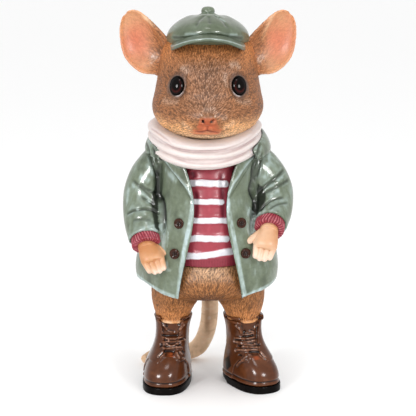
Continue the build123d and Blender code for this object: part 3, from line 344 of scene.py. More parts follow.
def carve_fur(skin, direction, spacing, length, width, seed, ruffle):
    """Overlapping pointed strokes laid along a direction, each over those of a lower number. Gives each
    point's height in its topmost stroke, from 0 at the stroke's edge to 1 along its middle, and that stroke's
    own number, from 0 to 1."""
    rng = np.random.default_rng(seed)
    flow = unit(direction - skin.normals * (direction * skin.normals).sum(axis=1)[:, None])
    count = int(skin.area / spacing ** 2)
    roots = rng.choice(len(skin.points), count, replace=False)
    centres = skin.points[roots]
    across = np.cross(skin.normals[roots], flow[roots])
    turn = rng.normal(0, ruffle, count)[:, None]
    along = flow[roots] * np.cos(turn) + across * np.sin(turn)
    across = np.cross(skin.normals[roots], along)
    lengths = length * rng.uniform(0.7, 1.3, count)
    widths = width * rng.uniform(0.75, 1.25, count)
    own = rng.random(count)
    tree = KDTree(count)
    for n, centre in enumerate(centres):
        tree.insert(centre, n)
    tree.balance()
    near = np.array([[hit[1] for hit in tree.find_n(point, NEAR_STROKES)] for point in skin.points])
    height = np.zeros(len(skin.points))
    number = np.full(len(skin.points), -1.0)
    for stroke in near.T:
        offset = skin.points - centres[stroke]
        forth = (offset * along[stroke]).sum(axis=1) / lengths[stroke]
        aside = (offset * across[stroke]).sum(axis=1) / widths[stroke]
        body = np.clip(1 - (2 * forth) ** 2, 0, 1) ** 0.5
        crest = body * np.clip(1 - (2 * aside / np.maximum(body, 0.2)) ** 2, 0, 1)
        crest *= 0.55 + 0.45 * np.clip(forth + 0.5, 0, 1)
        over = (crest > 0.05) & (own[stroke] > number)
        height = np.where(over, crest, height)
        number = np.where(over, own[stroke], number)
    bare = number < 0
    return np.where(bare, BARE_HEIGHT, height), np.where(bare, BARE_HEIGHT, number)


# Materials. The paint of each point is mottled by brush marks, and a clear varnish lies over it.

def set_values(node, values):
    for socket, value in values.items():
        node.inputs[socket].default_value = value
    return node


def new_material(name, values):
    """A material with these values on its shader, its node tree and its shader."""
    material = bpy.data.materials.new(name)
    material.use_nodes = True
    return material, material.node_tree, set_values(material.node_tree.nodes["Principled BSDF"], values)


def painted_material(
    name, roughness, coat, coat_roughness, marks, bump, subsurface, mottling, specular, coat_ior
):
    material, tree, shader = new_material(name, {
        "Roughness": roughness,
        "Specular IOR Level": specular,
        "Coat Weight": coat,
        "Coat Roughness": coat_roughness,
        "Coat IOR": coat_ior,
        "Subsurface Weight": subsurface,
        "Subsurface Radius": (1.0, 0.45, 0.25),
        "Subsurface Scale": 0.0015,
    })
    new, link = tree.nodes.new, tree.links.new
    paint = new("ShaderNodeAttribute")
    paint.attribute_name = "paint"
    where = new("ShaderNodeTexCoord")
    brush = set_values(new("ShaderNodeTexNoise"), {"Scale": marks, "Detail": 5.0, "Roughness": 0.6})
    shift = set_values(new("ShaderNodeMapRange"), {"From Min": 0.3, "From Max": 0.7})
    set_values(shift, {"To Min": 1.0 - mottling, "To Max": 1.0 + mottling})
    mottled = new("ShaderNodeVectorMath")
    mottled.operation = "SCALE"
    raised = set_values(new("ShaderNodeBump"), {"Strength": bump, "Distance": 0.0002})
    link(where.outputs["Object"], brush.inputs["Vector"])
    link(brush.outputs["Fac"], shift.inputs["Value"])
    link(paint.outputs["Color"], mottled.inputs[0])
    link(shift.outputs["Result"], mottled.inputs["Scale"])
    link(mottled.outputs["Vector"], shader.inputs["Base Color"])
    link(brush.outputs["Fac"], raised.inputs["Height"])
    link(raised.outputs["Normal"], shader.inputs["Normal"])
    return material


def drawn_steel(name):
    """Steel wire with long fine scratches and a little tarnish."""
    material, tree, shader = new_material(name, {"Metallic": 1.0})
    new, link = tree.nodes.new, tree.links.new
    where = new("ShaderNodeTexCoord")
    stretch = set_values(new("ShaderNodeMapping"), {"Scale": (1.0, 1.0, 0.05)})
    scratches = set_values(new("ShaderNodeTexNoise"), {"Scale": 2500})
    ramp = new("ShaderNodeValToRGB")
    ramp.color_ramp.elements[0].color = (0.28, 0.27, 0.26, 1)
    ramp.color_ramp.elements[1].color = (0.62, 0.61, 0.59, 1)
    dull = set_values(new("ShaderNodeMapRange"), {"To Min": 0.25, "To Max": 0.5})
    link(where.outputs["Object"], stretch.inputs["Vector"])
    link(stretch.outputs["Vector"], scratches.inputs["Vector"])
    link(scratches.outputs["Fac"], ramp.inputs["Fac"])
    link(ramp.outputs["Color"], shader.inputs["Base Color"])
    link(scratches.outputs["Fac"], dull.inputs["Value"])
    link(dull.outputs["Result"], shader.inputs["Roughness"])
    return material


# Roughness, coat weight, coat roughness, brush marks per metre, bump, subsurface weight, mottling, specular
# level and coat IOR of each paint
PAINTS = {
    "varnished_fur": (0.5, 0.12, 0.3, 900, 0.25, 0.0, 0.14, 0.2, 1.35),
    "ear_paint": (0.45, 0.15, 0.25, 500, 0.2, 0.1, 0.06, 0.2, 1.35),
    "varnished_green": (0.42, 0.7, 0.12, 420, 0.35, 0.0, 0.16, 0.15, 1.35),
    "scarf_paint": (0.5, 0.15, 0.25, 300, 0.2, 0.05, 0.04, 0.2, 1.35),
    "jersey_paint": (0.45, 0.3, 0.2, 600, 0.3, 0.0, 0.08, 0.2, 1.35),
    "hand_paint": (0.45, 0.15, 0.25, 300, 0.15, 0.1, 0.05, 0.2, 1.35),
    "tail_paint": (0.5, 0.1, 0.3, 500, 0.3, 0.05, 0.08, 0.2, 1.35),
    "boot_paint": (0.35, 0.85, 0.15, 250, 0.2, 0.0, 0.16, 0.05, 1.3),
    "sole_paint": (0.3, 0.5, 0.1, 200, 0.15, 0.0, 0.1, 0.0, 1.2),
    "button_paint": (0.3, 1.0, 0.06, 200, 0.1, 0.0, 0.1, 0.0, 1.3),
    "eye_enamel": (0.4, 1.0, 0.03, 100, 0.0, 0.0, 0.0, 0.0, 1.17),
}
PAINTS = {name: painted_material(name, *values) for name, values in PAINTS.items()}

FUR = tone(136, 88, 54)
FUR_WARM = tone(176, 112, 64)
FUR_GREY = tone(118, 83, 62)
FUR_TAN = tone(208, 154, 103)
FUR_CREAM = tone(232, 192, 154)
FUR_DARK = tone(78, 45, 26)
FUR_LIGHT = tone(214, 190, 172)
CREAM_DAB = tone(222, 180, 142)
BROW_SHEEN_DAB = tone(206, 190, 182)
MUZZLE = tone(164, 106, 68)
NOSE_PINK = tone(160, 74, 42)
NOSE_LOBE = tone(206, 124, 84)
NOSE_SHADE = tone(118, 58, 36)
NOSE_GLINT = tone(224, 202, 186)
LIP_PINK = tone(196, 104, 68)
MOUTH_RED = tone(106, 40, 28)
SOCKET_SHADE = tone(72, 50, 40)
LID_CRESCENT = tone(226, 218, 220)
IRIS_RED = tone(66, 16, 13)
BLACK = tone(10, 7, 6)
WHITE = tone(216, 215, 220)
GREEN = tone(98, 108, 88)
GREEN_CROWN = tone(84, 94, 74)
GREEN_PEAK = tone(80, 90, 72)
GREEN_DARK = tone(52, 60, 48)
GREEN_DEEP = tone(22, 26, 20)
GREEN_PALE = tone(158, 174, 170)
GREEN_MIST = tone(118, 130, 116)
GREEN_TOP_LIGHT = tone(148, 164, 162)
GREEN_EDGE = tone(178, 196, 200)
SCARF = tone(208, 196, 192)
SCARF_SHADE = tone(186, 164, 162)
SCARF_LIGHT = tone(222, 212, 208)
RED = tone(152, 56, 68)
RED_DARK = tone(92, 24, 38)
RED_LIGHT = tone(184, 96, 106)
RED_PALE = tone(206, 150, 152)
HAND = tone(190, 132, 86)
HAND_LIT = tone(206, 162, 126)
HAND_SIDE = tone(178, 114, 68)
HAND_PALE = tone(222, 194, 172)
HAND_SHADE = tone(164, 100, 58)
LEG_FUR = tone(138, 88, 48)
LEG_WARM = tone(176, 114, 66)
LEG_DARK = tone(78, 44, 22)
LEG_LIGHT = tone(216, 172, 124)
CROTCH_SHADE = tone(78, 46, 26)
BELLY = tone(176, 140, 108)
FUR_LIP = tone(220, 158, 104)
FUR_LIP_LIGHT = tone(236, 204, 172)
BOOT = tone(80, 42, 20)
BOOT_DARK = tone(30, 14, 8)
BOOT_LIGHT = tone(128, 80, 52)
BOOT_GLINT = tone(176, 140, 124)
BOOT_RUB = tone(150, 68, 30)
SOLE_DUST = tone(34, 28, 26)
HORN = tone(54, 25, 12)
TAIL = tone(224, 190, 156)
TAIL_SHADE = tone(150, 114, 86)
TAIL_SHADOW = tone(84, 60, 44)
TAIL_LIGHT = tone(232, 222, 210)
EAR_RIM = tone(190, 134, 90)
EAR_SALMON = tone(194, 114, 84)
EAR_PALE = tone(200, 150, 114)
EAR_STREAK = tone(178, 104, 76)
EAR_RIDGE = tone(222, 184, 148)
EAR_DAB = tone(206, 192, 184)

# Head. Cheeks, whisker pads and brows: place, radius and height.
HEAD_SWELLS = (
    ((-26, -18, 162), 12, 1.5),
    ((26, -18, 162), 12, 0.6),
    ((-9, -38, 157), 6.5, 1.2),
    ((9, -38, 157), 6.5, 1.2),
    ((-14, -26, 188), 7, 0.7),
    ((14, -26, 188), 7, 0.7),
)
NOSE_PLACE = np.array([0, -46.5, 160.8])
NOSE_STRETCH = np.array([1.25, 1.4, 1.0])
NOSTRILS_PX = ((203.2, 120, 203.2, 123), (211.6, 120, 211.6, 123))
MOUTH_PX = (194.6, 131.5, 198, 131.8, 202, 132, 207.4, 131.1, 212, 131.9, 216, 132.3, 219.4, 132.3)
PHILTRUM_PX = (207.5, 126, 207.5, 129, 207.5, 131.8)
LOWER_LIP_PX = (190.6, 132.4, 196, 133, 203, 133.3, 211, 133.3, 216, 133.2, 221, 132.2)
# Wings and lobes of the nose, and the grooves between them
NOSE_SWELLS_PX = (
    (200.8, 121, 201.4, 124),
    (214.4, 121, 213.8, 124),
    (203, 128.2, 205.4, 128.6),
    (210, 128.6, 212.4, 128.2),
)
NOSE_GROOVES_PX = ((199.6, 125.6, 203.4, 126.2, 207.5, 125.4), (207.5, 125.4, 211.8, 126.2, 215.6, 125.6))
# Salmon parts of the muzzle: the line and its half width
MUZZLE_BANDS_PX = (
    ((203.2, 122, 212.8, 122), 2.1),
    ((201.6, 124.8, 214.6, 124.8), 1.7),
    ((200.4, 127.6, 215.6, 127.6), 1.8),
    ((195, 130.6, 220, 130.2), 1),
)
# Light dry-brushed places, also standing as painted highlights: the line, its half width and its strength
BROW_SHEEN_DABS_PX = (
    ((180, 70, 184, 68, 188, 74), 1.8, 0.5),
    ((229, 66, 236, 64, 240, 70), 2, 0.55),
    ((226, 72, 225, 80, 228, 88), 1.5, 0.45),
    ((162, 99, 170, 102, 180, 101), 2, 0.4),
    ((234, 99, 243, 102, 252, 101), 2, 0.4),
    ((203, 108, 209, 110, 216, 108), 2, 0.35),
    ((222, 120, 227, 116), 1.4, 0.4),
)
CREAM_DABS_PX = (((181, 122, 187, 127, 192, 130), 2), ((223, 129, 229, 126, 235, 121), 2))
# Painted highlights on the top of the nose
NOSE_GLINTS_PX = ((201, 115.4, 202.2, 114.8), (214.4, 116, 215.8, 116.6))
EYE_HALF_SIZES = (4.0, 5.1, 2.3)
EYE_SEAT_OUT = 2.1
EYE_SINK = 0.3
SOCKET_REACH = 12
SOCKET_DEPTH = 1.5
LID_HEIGHT = 0.45


def eye_frame(side):
    """Where an eye sits on the head, and its sideways, upward and outward directions. It looks more to the
    front than the side of the head does."""
    middle = middle_of("eye_right" if side < 0 else "eye_left")
    seat = middle + EYE_SEAT_OUT * unit(np.array([side * 0.622, -0.647, 0.441]))
    outward = unit(np.array([side * 0.34, -0.91, 0.24]))
    sideways = unit(np.cross([0, 0, 1], outward))
    return seat, sideways, np.cross(outward, sideways), outward


def carve_sockets(skin):
    """Presses in the eyes' sockets inside raised lids. Gives the dark edge round each eye, the hollow about
    it and the pale crescent along its lower lid."""
    edge, hollow, lid_crescent = np.zeros((3, len(skin.points)))
    for _, side in SIDES:
        seat, sideways, upward, outward = eye_frame(side)
        offset = skin.points - seat
        near = np.linalg.norm(offset, axis=1) < SOCKET_REACH
        a, b, h = offset @ sideways, offset @ upward, offset @ outward
        ring = np.sqrt((a / EYE_HALF_SIZES[0]) ** 2 + (b / EYE_HALF_SIZES[1]) ** 2)
        target = -SOCKET_DEPTH * step(ring, 1.02, 0.8) + LID_HEIGHT * hump(ring, 1.16, 0.2)
        skin.points += np.outer((target - h) * near * step(ring, 1.85, 1.15), outward)
        edge += near * step(ring, 1.16, 1.04)
        hollow += near * step(ring, 1.9, 1.1)
        lid_crescent += near * hump(ring, 1.1, 0.09) * step(b, -2.2, -3.6) * step(side * a, 1.0, -0.4)
    skin.update()
    return edge, hollow, lid_crescent


def make_head():
    skin = skin_of(["head"], voxel=0.4, rounds=3)
    relief = np.zeros(len(skin.points))
    for place, radius, height in HEAD_SWELLS:
        relief += height * np.exp(-(np.linalg.norm(skin.points - np.array(place), axis=1) / radius) ** 2)
    skin.lift(relief)
    eye_edge, eye_hollow, lid_crescent = carve_sockets(skin)
    # nose, philtrum and mouth
    nose_gap = np.linalg.norm((skin.points - NOSE_PLACE) / NOSE_STRETCH, axis=1)
    nose = step(nose_gap, 4.4, 3.2)
    mouth = skin.stroke(MOUTH_PX, 0.5)
    philtrum = skin.stroke(PHILTRUM_PX, 0.5)
    lip = skin.stroke(LOWER_LIP_PX, 1.25)
    nostrils = skin.strokes(NOSTRILS_PX, 0.75, 0.01)
    salmon = np.clip(sum(skin.band(line, half) for line, half in MUZZLE_BANDS_PX), 0, 1) ** 0.7
    bare = np.clip(0.5 * nose + lip + salmon, 0, 1)
    swells = np.clip(skin.strokes(NOSE_SWELLS_PX, 1.3, 0.01), 0, 1)
    grooves = np.clip(skin.strokes(NOSE_GROOVES_PX, 0.6, 0.05), 0, 1)
    relief = 0.3 * nose + 0.5 * lip - 0.7 * mouth - 0.5 * philtrum - 1.0 * nostrils
    skin.lift(relief + 0.4 * swells - 0.15 * grooves)
    # fur, away from the nose over the face and down the back
    away = unit(skin.points - NOSE_PLACE)
    behind = step(skin.points[:, 1], 0, 22)
    direction = away * (1 - 0.8 * behind)[:, None] + np.array([0, 0, -1.0]) * behind[:, None]
    crest, own = carve_fur(skin, direction, spacing=0.9, length=3.7, width=0.95, seed=11, ruffle=0.3)
    furry = (1 - bare) * (1 - np.clip(eye_edge, 0, 1))
    skin.lift(0.34 * (crest - CREST_LEVEL) * furry)
    # broad colours of the fur, from the crown down to the chin
    x, y, z = skin.points.T
    patch = skin.cloud(9, 3)
    fine = skin.cloud(2.2, 5)
    folds = skin.hollows(7, 0.1)
    skin.cover(FUR)
    skin.cover(FUR_WARM, step(z, 182, 196) * 0.95 + 0.25 * patch)
    skin.cover(FUR_GREY, 0.6 * np.exp(-((x / 13) ** 2)) * step(z, 158, 168) * (y < 0) * step(z, 196, 184))
    skin.cover(FUR_TAN, step(z + 2.5 * patch, 164, 154) * step(np.abs(x), 4, 14) * (y < 6))
    skin.cover(FUR_CREAM, 0.8 * step(z + 2 * patch, 156, 149) * (y < 4))
    skin.cover(FUR_CREAM, step(z, 152, 149) * (y < 0))
    skin.cover(FUR_WARM, 0.6 * step(y, 5, 22))
    for line, half in CREAM_DABS_PX:
        skin.cover(CREAM_DAB, 0.6 * skin.stroke(line, half))
    # strokes of the fur, dark at the roots and dry-brushed at the tips: partly painted shade and light
    shade = 0.57 + 0.7 * crest + 0.3 * (own - 0.5)
    skin.paint *= (1 + (shade - 1) * furry)[:, None]
    skin.cover(FUR_DARK, 0.25 * step(crest, 0.25, 0.05) * furry)
    middle = np.exp(-((x / 14) ** 2)) * step(z, 156, 166) * step(z, 198, 188)
    skin.cover(FUR_LIGHT, 0.65 * middle * step(crest, 0.55, 0.95) * furry * step(own, 0.35, 0.8) * (y < 10))
    skin.cover(FUR_LIGHT, 0.16 * step(crest, 0.6, 0.95) * furry * step(fine, -0.2, 0.6) * (y < 10))
    # painted shade in the hollows of the face
    skin.cover(FUR_DARK, 0.4 * step(folds, 0.25, 1.1) * (y < 0) * (1 - lip))
    # pale dabs of painted highlight on the crests of the strokes
    for line, half, strength in BROW_SHEEN_DABS_PX:
        skin.cover(BROW_SHEEN_DAB, strength * skin.stroke(line, half) * step(crest, 0.1, 0.7))
    # muzzle and eyelids
    skin.cover(MUZZLE, salmon)
    skin.cover(NOSE_PINK, salmon * (0.74 + 0.4 * fine) * step(np.abs(x), 8.5, 4))
    skin.cover(LIP_PINK, 0.6 * salmon * step(z, 158.5, 156) * step(fine, -0.8, 0.4) + 0.7 * lip)
    skin.cover(NOSE_LOBE, 0.5 * swells)
    skin.cover(NOSE_SHADE, 0.25 * salmon * step(-fine, 0.1, 0.7) + 0.5 * philtrum + 0.12 * grooves)
    skin.cover(MOUTH_RED, 0.85 * mouth * step(np.abs(x), 9, 6))
    skin.cover(BLACK, nostrils)
    # painted highlights on the top of the nose
    for line in NOSE_GLINTS_PX:
        skin.cover(NOSE_GLINT, 0.7 * skin.stroke(line, 0.8))
    skin.cover(SOCKET_SHADE, 0.62 * eye_hollow)
    skin.cover(BLACK, eye_edge)
    skin.cover(LID_CRESCENT, 0.9 * lid_crescent)
    skin.piece("head_fur", "varnished_fur", "fur", "head")


def make_eye(name, side):
    seat, sideways, upward, outward = eye_frame(side)
    bm = bmesh.new()
    bmesh.ops.create_uvsphere(bm, u_segments=64, v_segments=48, radius=1)
    mesh = bpy.data.meshes.new(name)
    bm.to_mesh(mesh)
    bm.free()
    a, b, c = np.array([vert.co for vert in mesh.vertices]).T
    half_a, half_b, half_c = EYE_HALF_SIZES
    points = seat - EYE_SINK * outward + np.outer(a * half_a, sideways) + np.outer(b * half_b, upward)
    points += np.outer(c * half_c, outward)
    mesh.vertices.foreach_set("co", (points * MM).ravel())
    mesh.shade_smooth()
    # a dark red part of the iris, below and towards the nose
    paint = np.tile(BLACK, (len(a), 1))
    lean = a * side
    red = hump(np.hypot(a, b), 0.66, 0.22) * np.clip(step(b, 0.1, -0.6) + 0.7 * step(lean, 0.0, -0.6), 0, 1)
    paint += (IRIS_RED - paint) * (0.8 * red)[:, None]
    keep_paint(mesh, paint)
    placed(f"{name}_enamel", mesh, PAINTS["eye_enamel"], "eye_gloss", name)


# Ears: the upper and the lower ridge of each dish
EAR_RIDGES_PX = {
    -1: ((141, 15, 152, 24, 160, 36, 166, 48), (150, 60, 155, 64, 160, 74)),
    1: ((274, 15, 269, 22, 264, 32, 261, 43), (262, 60, 258, 64, 256, 74)),
}
EAR_DABS_PX = {-1: (151, 56, 156, 60), 1: (257, 58, 262, 62)}
EAR_TURN = radians(14)


def make_ear(name, side):
    skin = skin_of([name], voxel=0.42, rounds=4)
    facing = np.array([side * sin(EAR_TURN), -cos(EAR_TURN), 0])
    inner = step(skin.normals @ facing, 0.2, 0.75)
    upper = skin.stroke(EAR_RIDGES_PX[side][0], 1.6)
    lower = skin.stroke(EAR_RIDGES_PX[side][1], 1.4)
    skin.lift((0.8 * upper + 0.5 * lower) * inner)
    x, _, z = skin.points.T
    root = step(np.abs(x), 36, 27)
    along = np.tile([side * 0.68, 0.0, 0.73], (len(x), 1))
    crest, own = carve_fur(skin, along, spacing=1.0, length=3.4, width=0.95, seed=21 + side, ruffle=0.35)
    furry = np.clip(root + (1 - inner), 0, 1)
    skin.lift((0.1 + 0.22 * furry) * (crest - CREST_LEVEL))
    patch = skin.cloud(8, 4)
    streak = skin.grain(1.4, 8)
    centre = np.exp(-(((np.abs(x) - 40) / 9) ** 2 + ((z - 199) / 10) ** 2))
    skin.cover(EAR_RIM)
    skin.cover(EAR_PALE, inner * 0.7)
    skin.cover(EAR_SALMON, inner * (0.95 * centre + 0.2 * patch))
    skin.cover(EAR_STREAK, inner * 0.3 * step(streak, 0.2, 0.9))
    skin.cover(EAR_RIDGE, 0.8 * upper * inner)
    skin.cover(FUR_WARM, 0.85 * step(skin.normals @ facing, 0.1, -0.5))
    skin.cover(FUR, np.clip(root * 1.1, 0, 1) * 0.9)
    # dark between the carved strokes, light on their crests: partly paint, partly painted shade and light
    skin.paint *= (1 + (0.45 * furry + 0.1) * (1.5 * crest - 0.62 + 0.4 * (own - 0.5)))[:, None]
    skin.cover(EAR_DAB, 0.6 * skin.stroke(EAR_DABS_PX[side], 2.4) * step(crest, 0.1, 0.6))
    skin.piece(f"{name}_skin", "ear_paint", "ear_skin", name)


# Cap
CROWN_CREASES_PX = ((205, 15, 199, 20, 195.5, 27), (214, 15, 222, 20, 228, 28), (209, 16, 210, 24))
CROWN_ROLL_PX = (172, 37.2, 182, 37.8, 192, 37, 203, 35.4, 210, 34.6, 218, 35, 228, 36.6, 243, 38.4)
# Painted highlights on the crown's front roll and top
CROWN_HIGHLIGHTS_PX = ((184, 34.4, 192, 33.8, 199, 34.4), (229, 34.8, 238, 34.6), (219, 18, 226, 22))
PEAK_MIDDLE_Y = -15.2
PEAK_HALF_SIZES = (20.6, 24.8)


def make_cap():
    crown = skin_of(["cap_crown"], voxel=0.42, rounds=4)
    x, y, z = crown.points.T
    panels = np.cos(np.arctan2(x, -y) * 4)
    crown.lift(0.35 * panels * step(z, 202, 212) + 0.25 * crown.cloud(9, 2))
    creases = crown.strokes(CROWN_CREASES_PX, 1.1)
    roll = crown.stroke(CROWN_ROLL_PX, 0.8, 0.05)
    crown.lift(-0.5 * creases - 0.5 * roll)
    folds = crown.hollows(6, 0.1)
    crown.cover(GREEN_CROWN)
    crown.cover(GREEN_MIST, 0.35 * step(crown.cloud(6, 7), 0, 0.8))
    # painted shade in the creases, under the roll and in the hollows
    crown.cover(GREEN_DARK, 0.3 * creases + 0.5 * roll + 0.4 * step(folds, 0.2, 1))
    crown.cover(GREEN_PALE, 0.35 * step(-folds, 0.3, 1))
    scratches = crown.grain((1.2, 3, 1.2), 9) * step(crown.cloud(8, 4), -0.1, 0.5)
    crown.cover(GREEN_PALE, 0.5 * step(scratches, 0.35, 0.8) * step(crown.points[:, 2], 203, 212))
    # pale paint laid as painted highlights
    for line in CROWN_HIGHLIGHTS_PX:
        crown.cover(GREEN_PALE, 0.7 * crown.stroke(line, 0.8))
    crown.piece("cap_crown_cloth", "varnished_green", "green_cloth_paint", "cap_crown")
    peak = skin_of(["cap_peak"], voxel=0.3, rounds=3)
    x, y, _ = peak.points.T
    edge = np.hypot(x / PEAK_HALF_SIZES[0], (y - PEAK_MIDDLE_Y) / PEAK_HALF_SIZES[1])
    upward = peak.normals[:, 2]
    peak.cover(GREEN_PEAK)
    # painted shade on the peak's underside
    peak.cover(GREEN_DARK, 0.8 * step(upward, -0.1, -0.6))
    peak.cover(GREEN_PALE, 0.8 * step(edge, 0.955, 0.985) * step(upward, -0.1, 0.35))
    peak.piece("cap_peak_cloth", "varnished_green", "green_cloth_paint", "cap_peak")
    knob = skin_of(["cap_button"], voxel=0.25, rounds=34)
    knob.lift(0.3)
    knob.cover(GREEN)
    # painted shade low on the knob, where it meets the crown
    knob.cover(GREEN_DARK, 0.8 * step(knob.points[:, 2], 215.6, 214.2))
    knob.cover(GREEN_PALE, 0.4 * step(knob.hollows(4, 0.05), 0, -1))
    knob.piece("cap_button_cloth", "varnished_green", "green_cloth_paint", "cap_button")


# Scarf
SCARF_FOLDS_PX = (
    (148, 131, 155, 136, 165, 143, 176, 148.5, 190, 151, 205, 151.4, 222, 150, 240, 144, 256, 134),
    (150, 128, 158, 132.5, 166, 139, 172, 145),
    (172, 156, 182, 160.5, 196, 163.4, 208, 163.6, 222, 162, 236, 157.6, 247, 152),
    (214, 155, 230, 152, 244, 146, 256, 138),
)
# Where it goes under the collar
TUCKED_PX = (151.6, 147.6, 153.6, 149.4, 155.6, 151.2)
# Its own folds all round: height and depth
SCARF_FOLDS = ((151.2, 0.5), (154.6, 0.35), (146.6, 0.4), (141.8, 0.45), (143.4, 0.25))
SCARF_DROP = 8.6


def make_scarf():
    skin = skin_of(["scarf_upper_wrap", "scarf_lower_wrap"], voxel=0.5, rounds=6, grow=0.15)
    x, y, z = skin.points.T
    turn = np.arctan2(np.abs(x), y) / pi
    level = z + SCARF_DROP * step(turn, 0.4, 0.95) + 0.5 * np.sin(5 * turn * pi) + 0.4 * skin.grain(14, 3)
    fold = np.zeros(len(x))
    for height, depth in SCARF_FOLDS:
        fold += depth * np.exp(-((level - height) / 0.6) ** 2) * (0.6 + 0.5 * skin.grain(12, int(height)))
    traced = skin.strokes(SCARF_FOLDS_PX, 0.7)
    skin.lift(-0.8 * fold - 0.4 * traced)
    skin.lift(-1.6 * skin.stroke(TUCKED_PX, 1.6, 0.01))
    folds = skin.hollows(8, 0.12)
    skin.cover(SCARF)
    # painted light on the crests of the folds, painted shade in their hollows and along the traced folds
    skin.cover(SCARF_LIGHT, 0.6 * step(-folds, 0.1, 0.9))
    skin.cover(SCARF_SHADE, 0.5 * step(folds, 0.1, 1) + 0.35 * traced + 0.15 * fold)
    skin.piece("scarf_cloth", "scarf_paint", "scarf_paint", "scarf_upper_wrap", "scarf_lower_wrap")


# Jersey
STRIPES_PX = (
    (191, 183.2, 200, 183, 210, 183.4, 226, 184),
    (194, 201.8, 206, 202, 214, 201.6, 222, 202),
    (192, 220.6, 206, 220.8, 216, 220.6, 228, 220.8),
    (188.5, 239, 200, 238.4, 214, 239, 227, 239),
    (185, 255.6, 198, 256, 212, 254.6, 224, 252.6, 232, 251.6),
)
STRIPE_HALF_WIDTHS = (1.9, 1.55, 1.6, 1.85, 1.9)
JERSEY_FOLDS_PX = ((195, 190, 196, 205, 194, 222), (222, 172, 223, 200, 224, 226), (192, 171, 194, 178))
RIB_PITCH = 1.5
# The coat's opening lies this far from the middle of the figure
OPENING_SHIFT = 1.2


def make_jersey():
    skin = skin_of(["sweater_torso", "sweater_stripes"], voxel=0.5, rounds=3)
    front = skin.points[:, 1] < 0
    stripes = np.zeros(len(skin.points))
    wobble = 0.25 * skin.grain(2.5, 6)
    for line, half in zip(STRIPES_PX, STRIPE_HALF_WIDTHS):
        distance, _ = skin.reach(skin.seen(line), 4)
        stripes = np.maximum(stripes, step(distance + wobble, half + 0.25, half - 0.25))
    folds = skin.strokes(JERSEY_FOLDS_PX, 1.6)
    x, _, z = skin.points.T
    ribs = np.cos(x * 2 * pi / RIB_PITCH) * step(z, 80.8, 80.0) * front
    skin.lift(0.25 * stripes - 0.6 * folds + 0.05 * ribs)
    skin.cover(RED)
    skin.cover(RED_LIGHT, 0.35 * step(skin.cloud((2.2, 2.2, 6), 2), 0.1, 1))
    # painted shade in the folds, beside the coat's fronts, between the ribs and low on the hem band
    skin.cover(RED_DARK, 0.75 * folds + 0.5 * step(np.abs(x - OPENING_SHIFT), 11, 18) * front)
    skin.cover(RED_DARK, 0.12 * step(-ribs, 0.1, 0.9) + 0.3 * step(z, 82, 80.8) * front)
    skin.cover(WHITE, stripes)
    skin.piece("jersey", "jersey_paint", "jersey_red", "sweater_torso", "sweater_stripes")


# Coat: body, sleeves, collar and lapels run together as one cloth
COAT_NODES = ("coat_body", "coat_collar", "lapel_right", "lapel_left", "sleeve_right", "sleeve_left")
# Folds, carved and darkened with painted shade: the line, its half width and its depth
COAT_FOLDS_PX = (
    ((159.8, 163, 158, 172, 157.9, 182, 158.5, 194.6, 162.2, 201, 163.6, 214, 163.2, 234), 2.1, 1.8),
    ((146, 143, 148.4, 150, 151, 158.6, 154.5, 168, 157.5, 178), 1.1, 1),
    ((152, 147, 155.5, 156, 158, 165), 1, 0.7),
    ((139.5, 184, 144, 187.8, 149.8, 190.9, 158.6, 194.6), 1, 0.7),
    ((133, 180, 139, 186, 146, 192, 152, 198), 0.8, 0.45),
    ((141, 197, 148, 200.5, 155, 206), 0.9, 0.5),
    ((126.2, 214.6, 130, 212, 134.9, 210.2, 146.1, 208.8, 154, 211, 159.8, 214.5), 0.9, 0.8),
    ((132, 220, 142, 218.6, 152, 220), 1.2, 0.4),
    (
        (254.6, 160, 253, 170, 252.4, 180, 250.6, 190, 254.3, 200, 255.5, 208, 253.4, 219.5, 252, 236),
        2.1,
        1.9,
    ),
    ((260, 142, 258.4, 150, 256.6, 158, 255, 166), 0.9, 0.8),
    ((262.6, 152, 260, 161, 258, 170, 256, 178), 1, 0.8),
    ((284, 169.6, 278, 176, 271.7, 181, 264, 187, 256, 194), 1.1, 0.9),
    ((289, 179.6, 282, 184, 275.4, 187.4, 268, 191, 262, 194), 0.9, 0.6),
    ((284, 197, 276, 198.6, 270, 201, 264, 206, 259, 212), 0.9, 0.7),
    ((288, 203, 281, 203.6, 274, 206, 268, 210), 0.8, 0.4),
)
NOTCHES_PX = ((159.4, 157.6, 163.4, 158.4, 166.4, 157.6), (248, 154.2, 252, 155, 255.4, 156.4))
LAPEL_EDGES_PX = (
    (163.5, 159, 168, 164, 172.2, 169.8, 177.4, 176, 182.2, 182.4, 186.6, 188, 189.8, 193.6, 192.4, 200),
    (254.6, 156, 250, 160.6, 245.4, 166.2, 241.6, 171.6, 238, 177.4, 234.6, 182, 231.8, 187.4, 228, 196),
)
COLLAR_EDGES_PX = (
    (163.5, 156.4, 170, 160, 176, 163.4, 181, 167),
    (248, 153.6, 243, 157, 238, 160.6, 233, 163.6),
)
FRONT_EDGES_PX = (
    (
        192.6, 201, 192.2, 209, 190.8, 217, 189, 227, 187.1, 236, 185, 246, 183.2, 256, 181, 270,
        179.6, 284, 178, 296,
    ),
    (
        227.6, 197, 228.2, 207, 229.6, 215, 231.3, 223.4, 234, 238, 236.9, 252, 240, 269.4, 242.6, 284,
        245, 295,
    ),
)
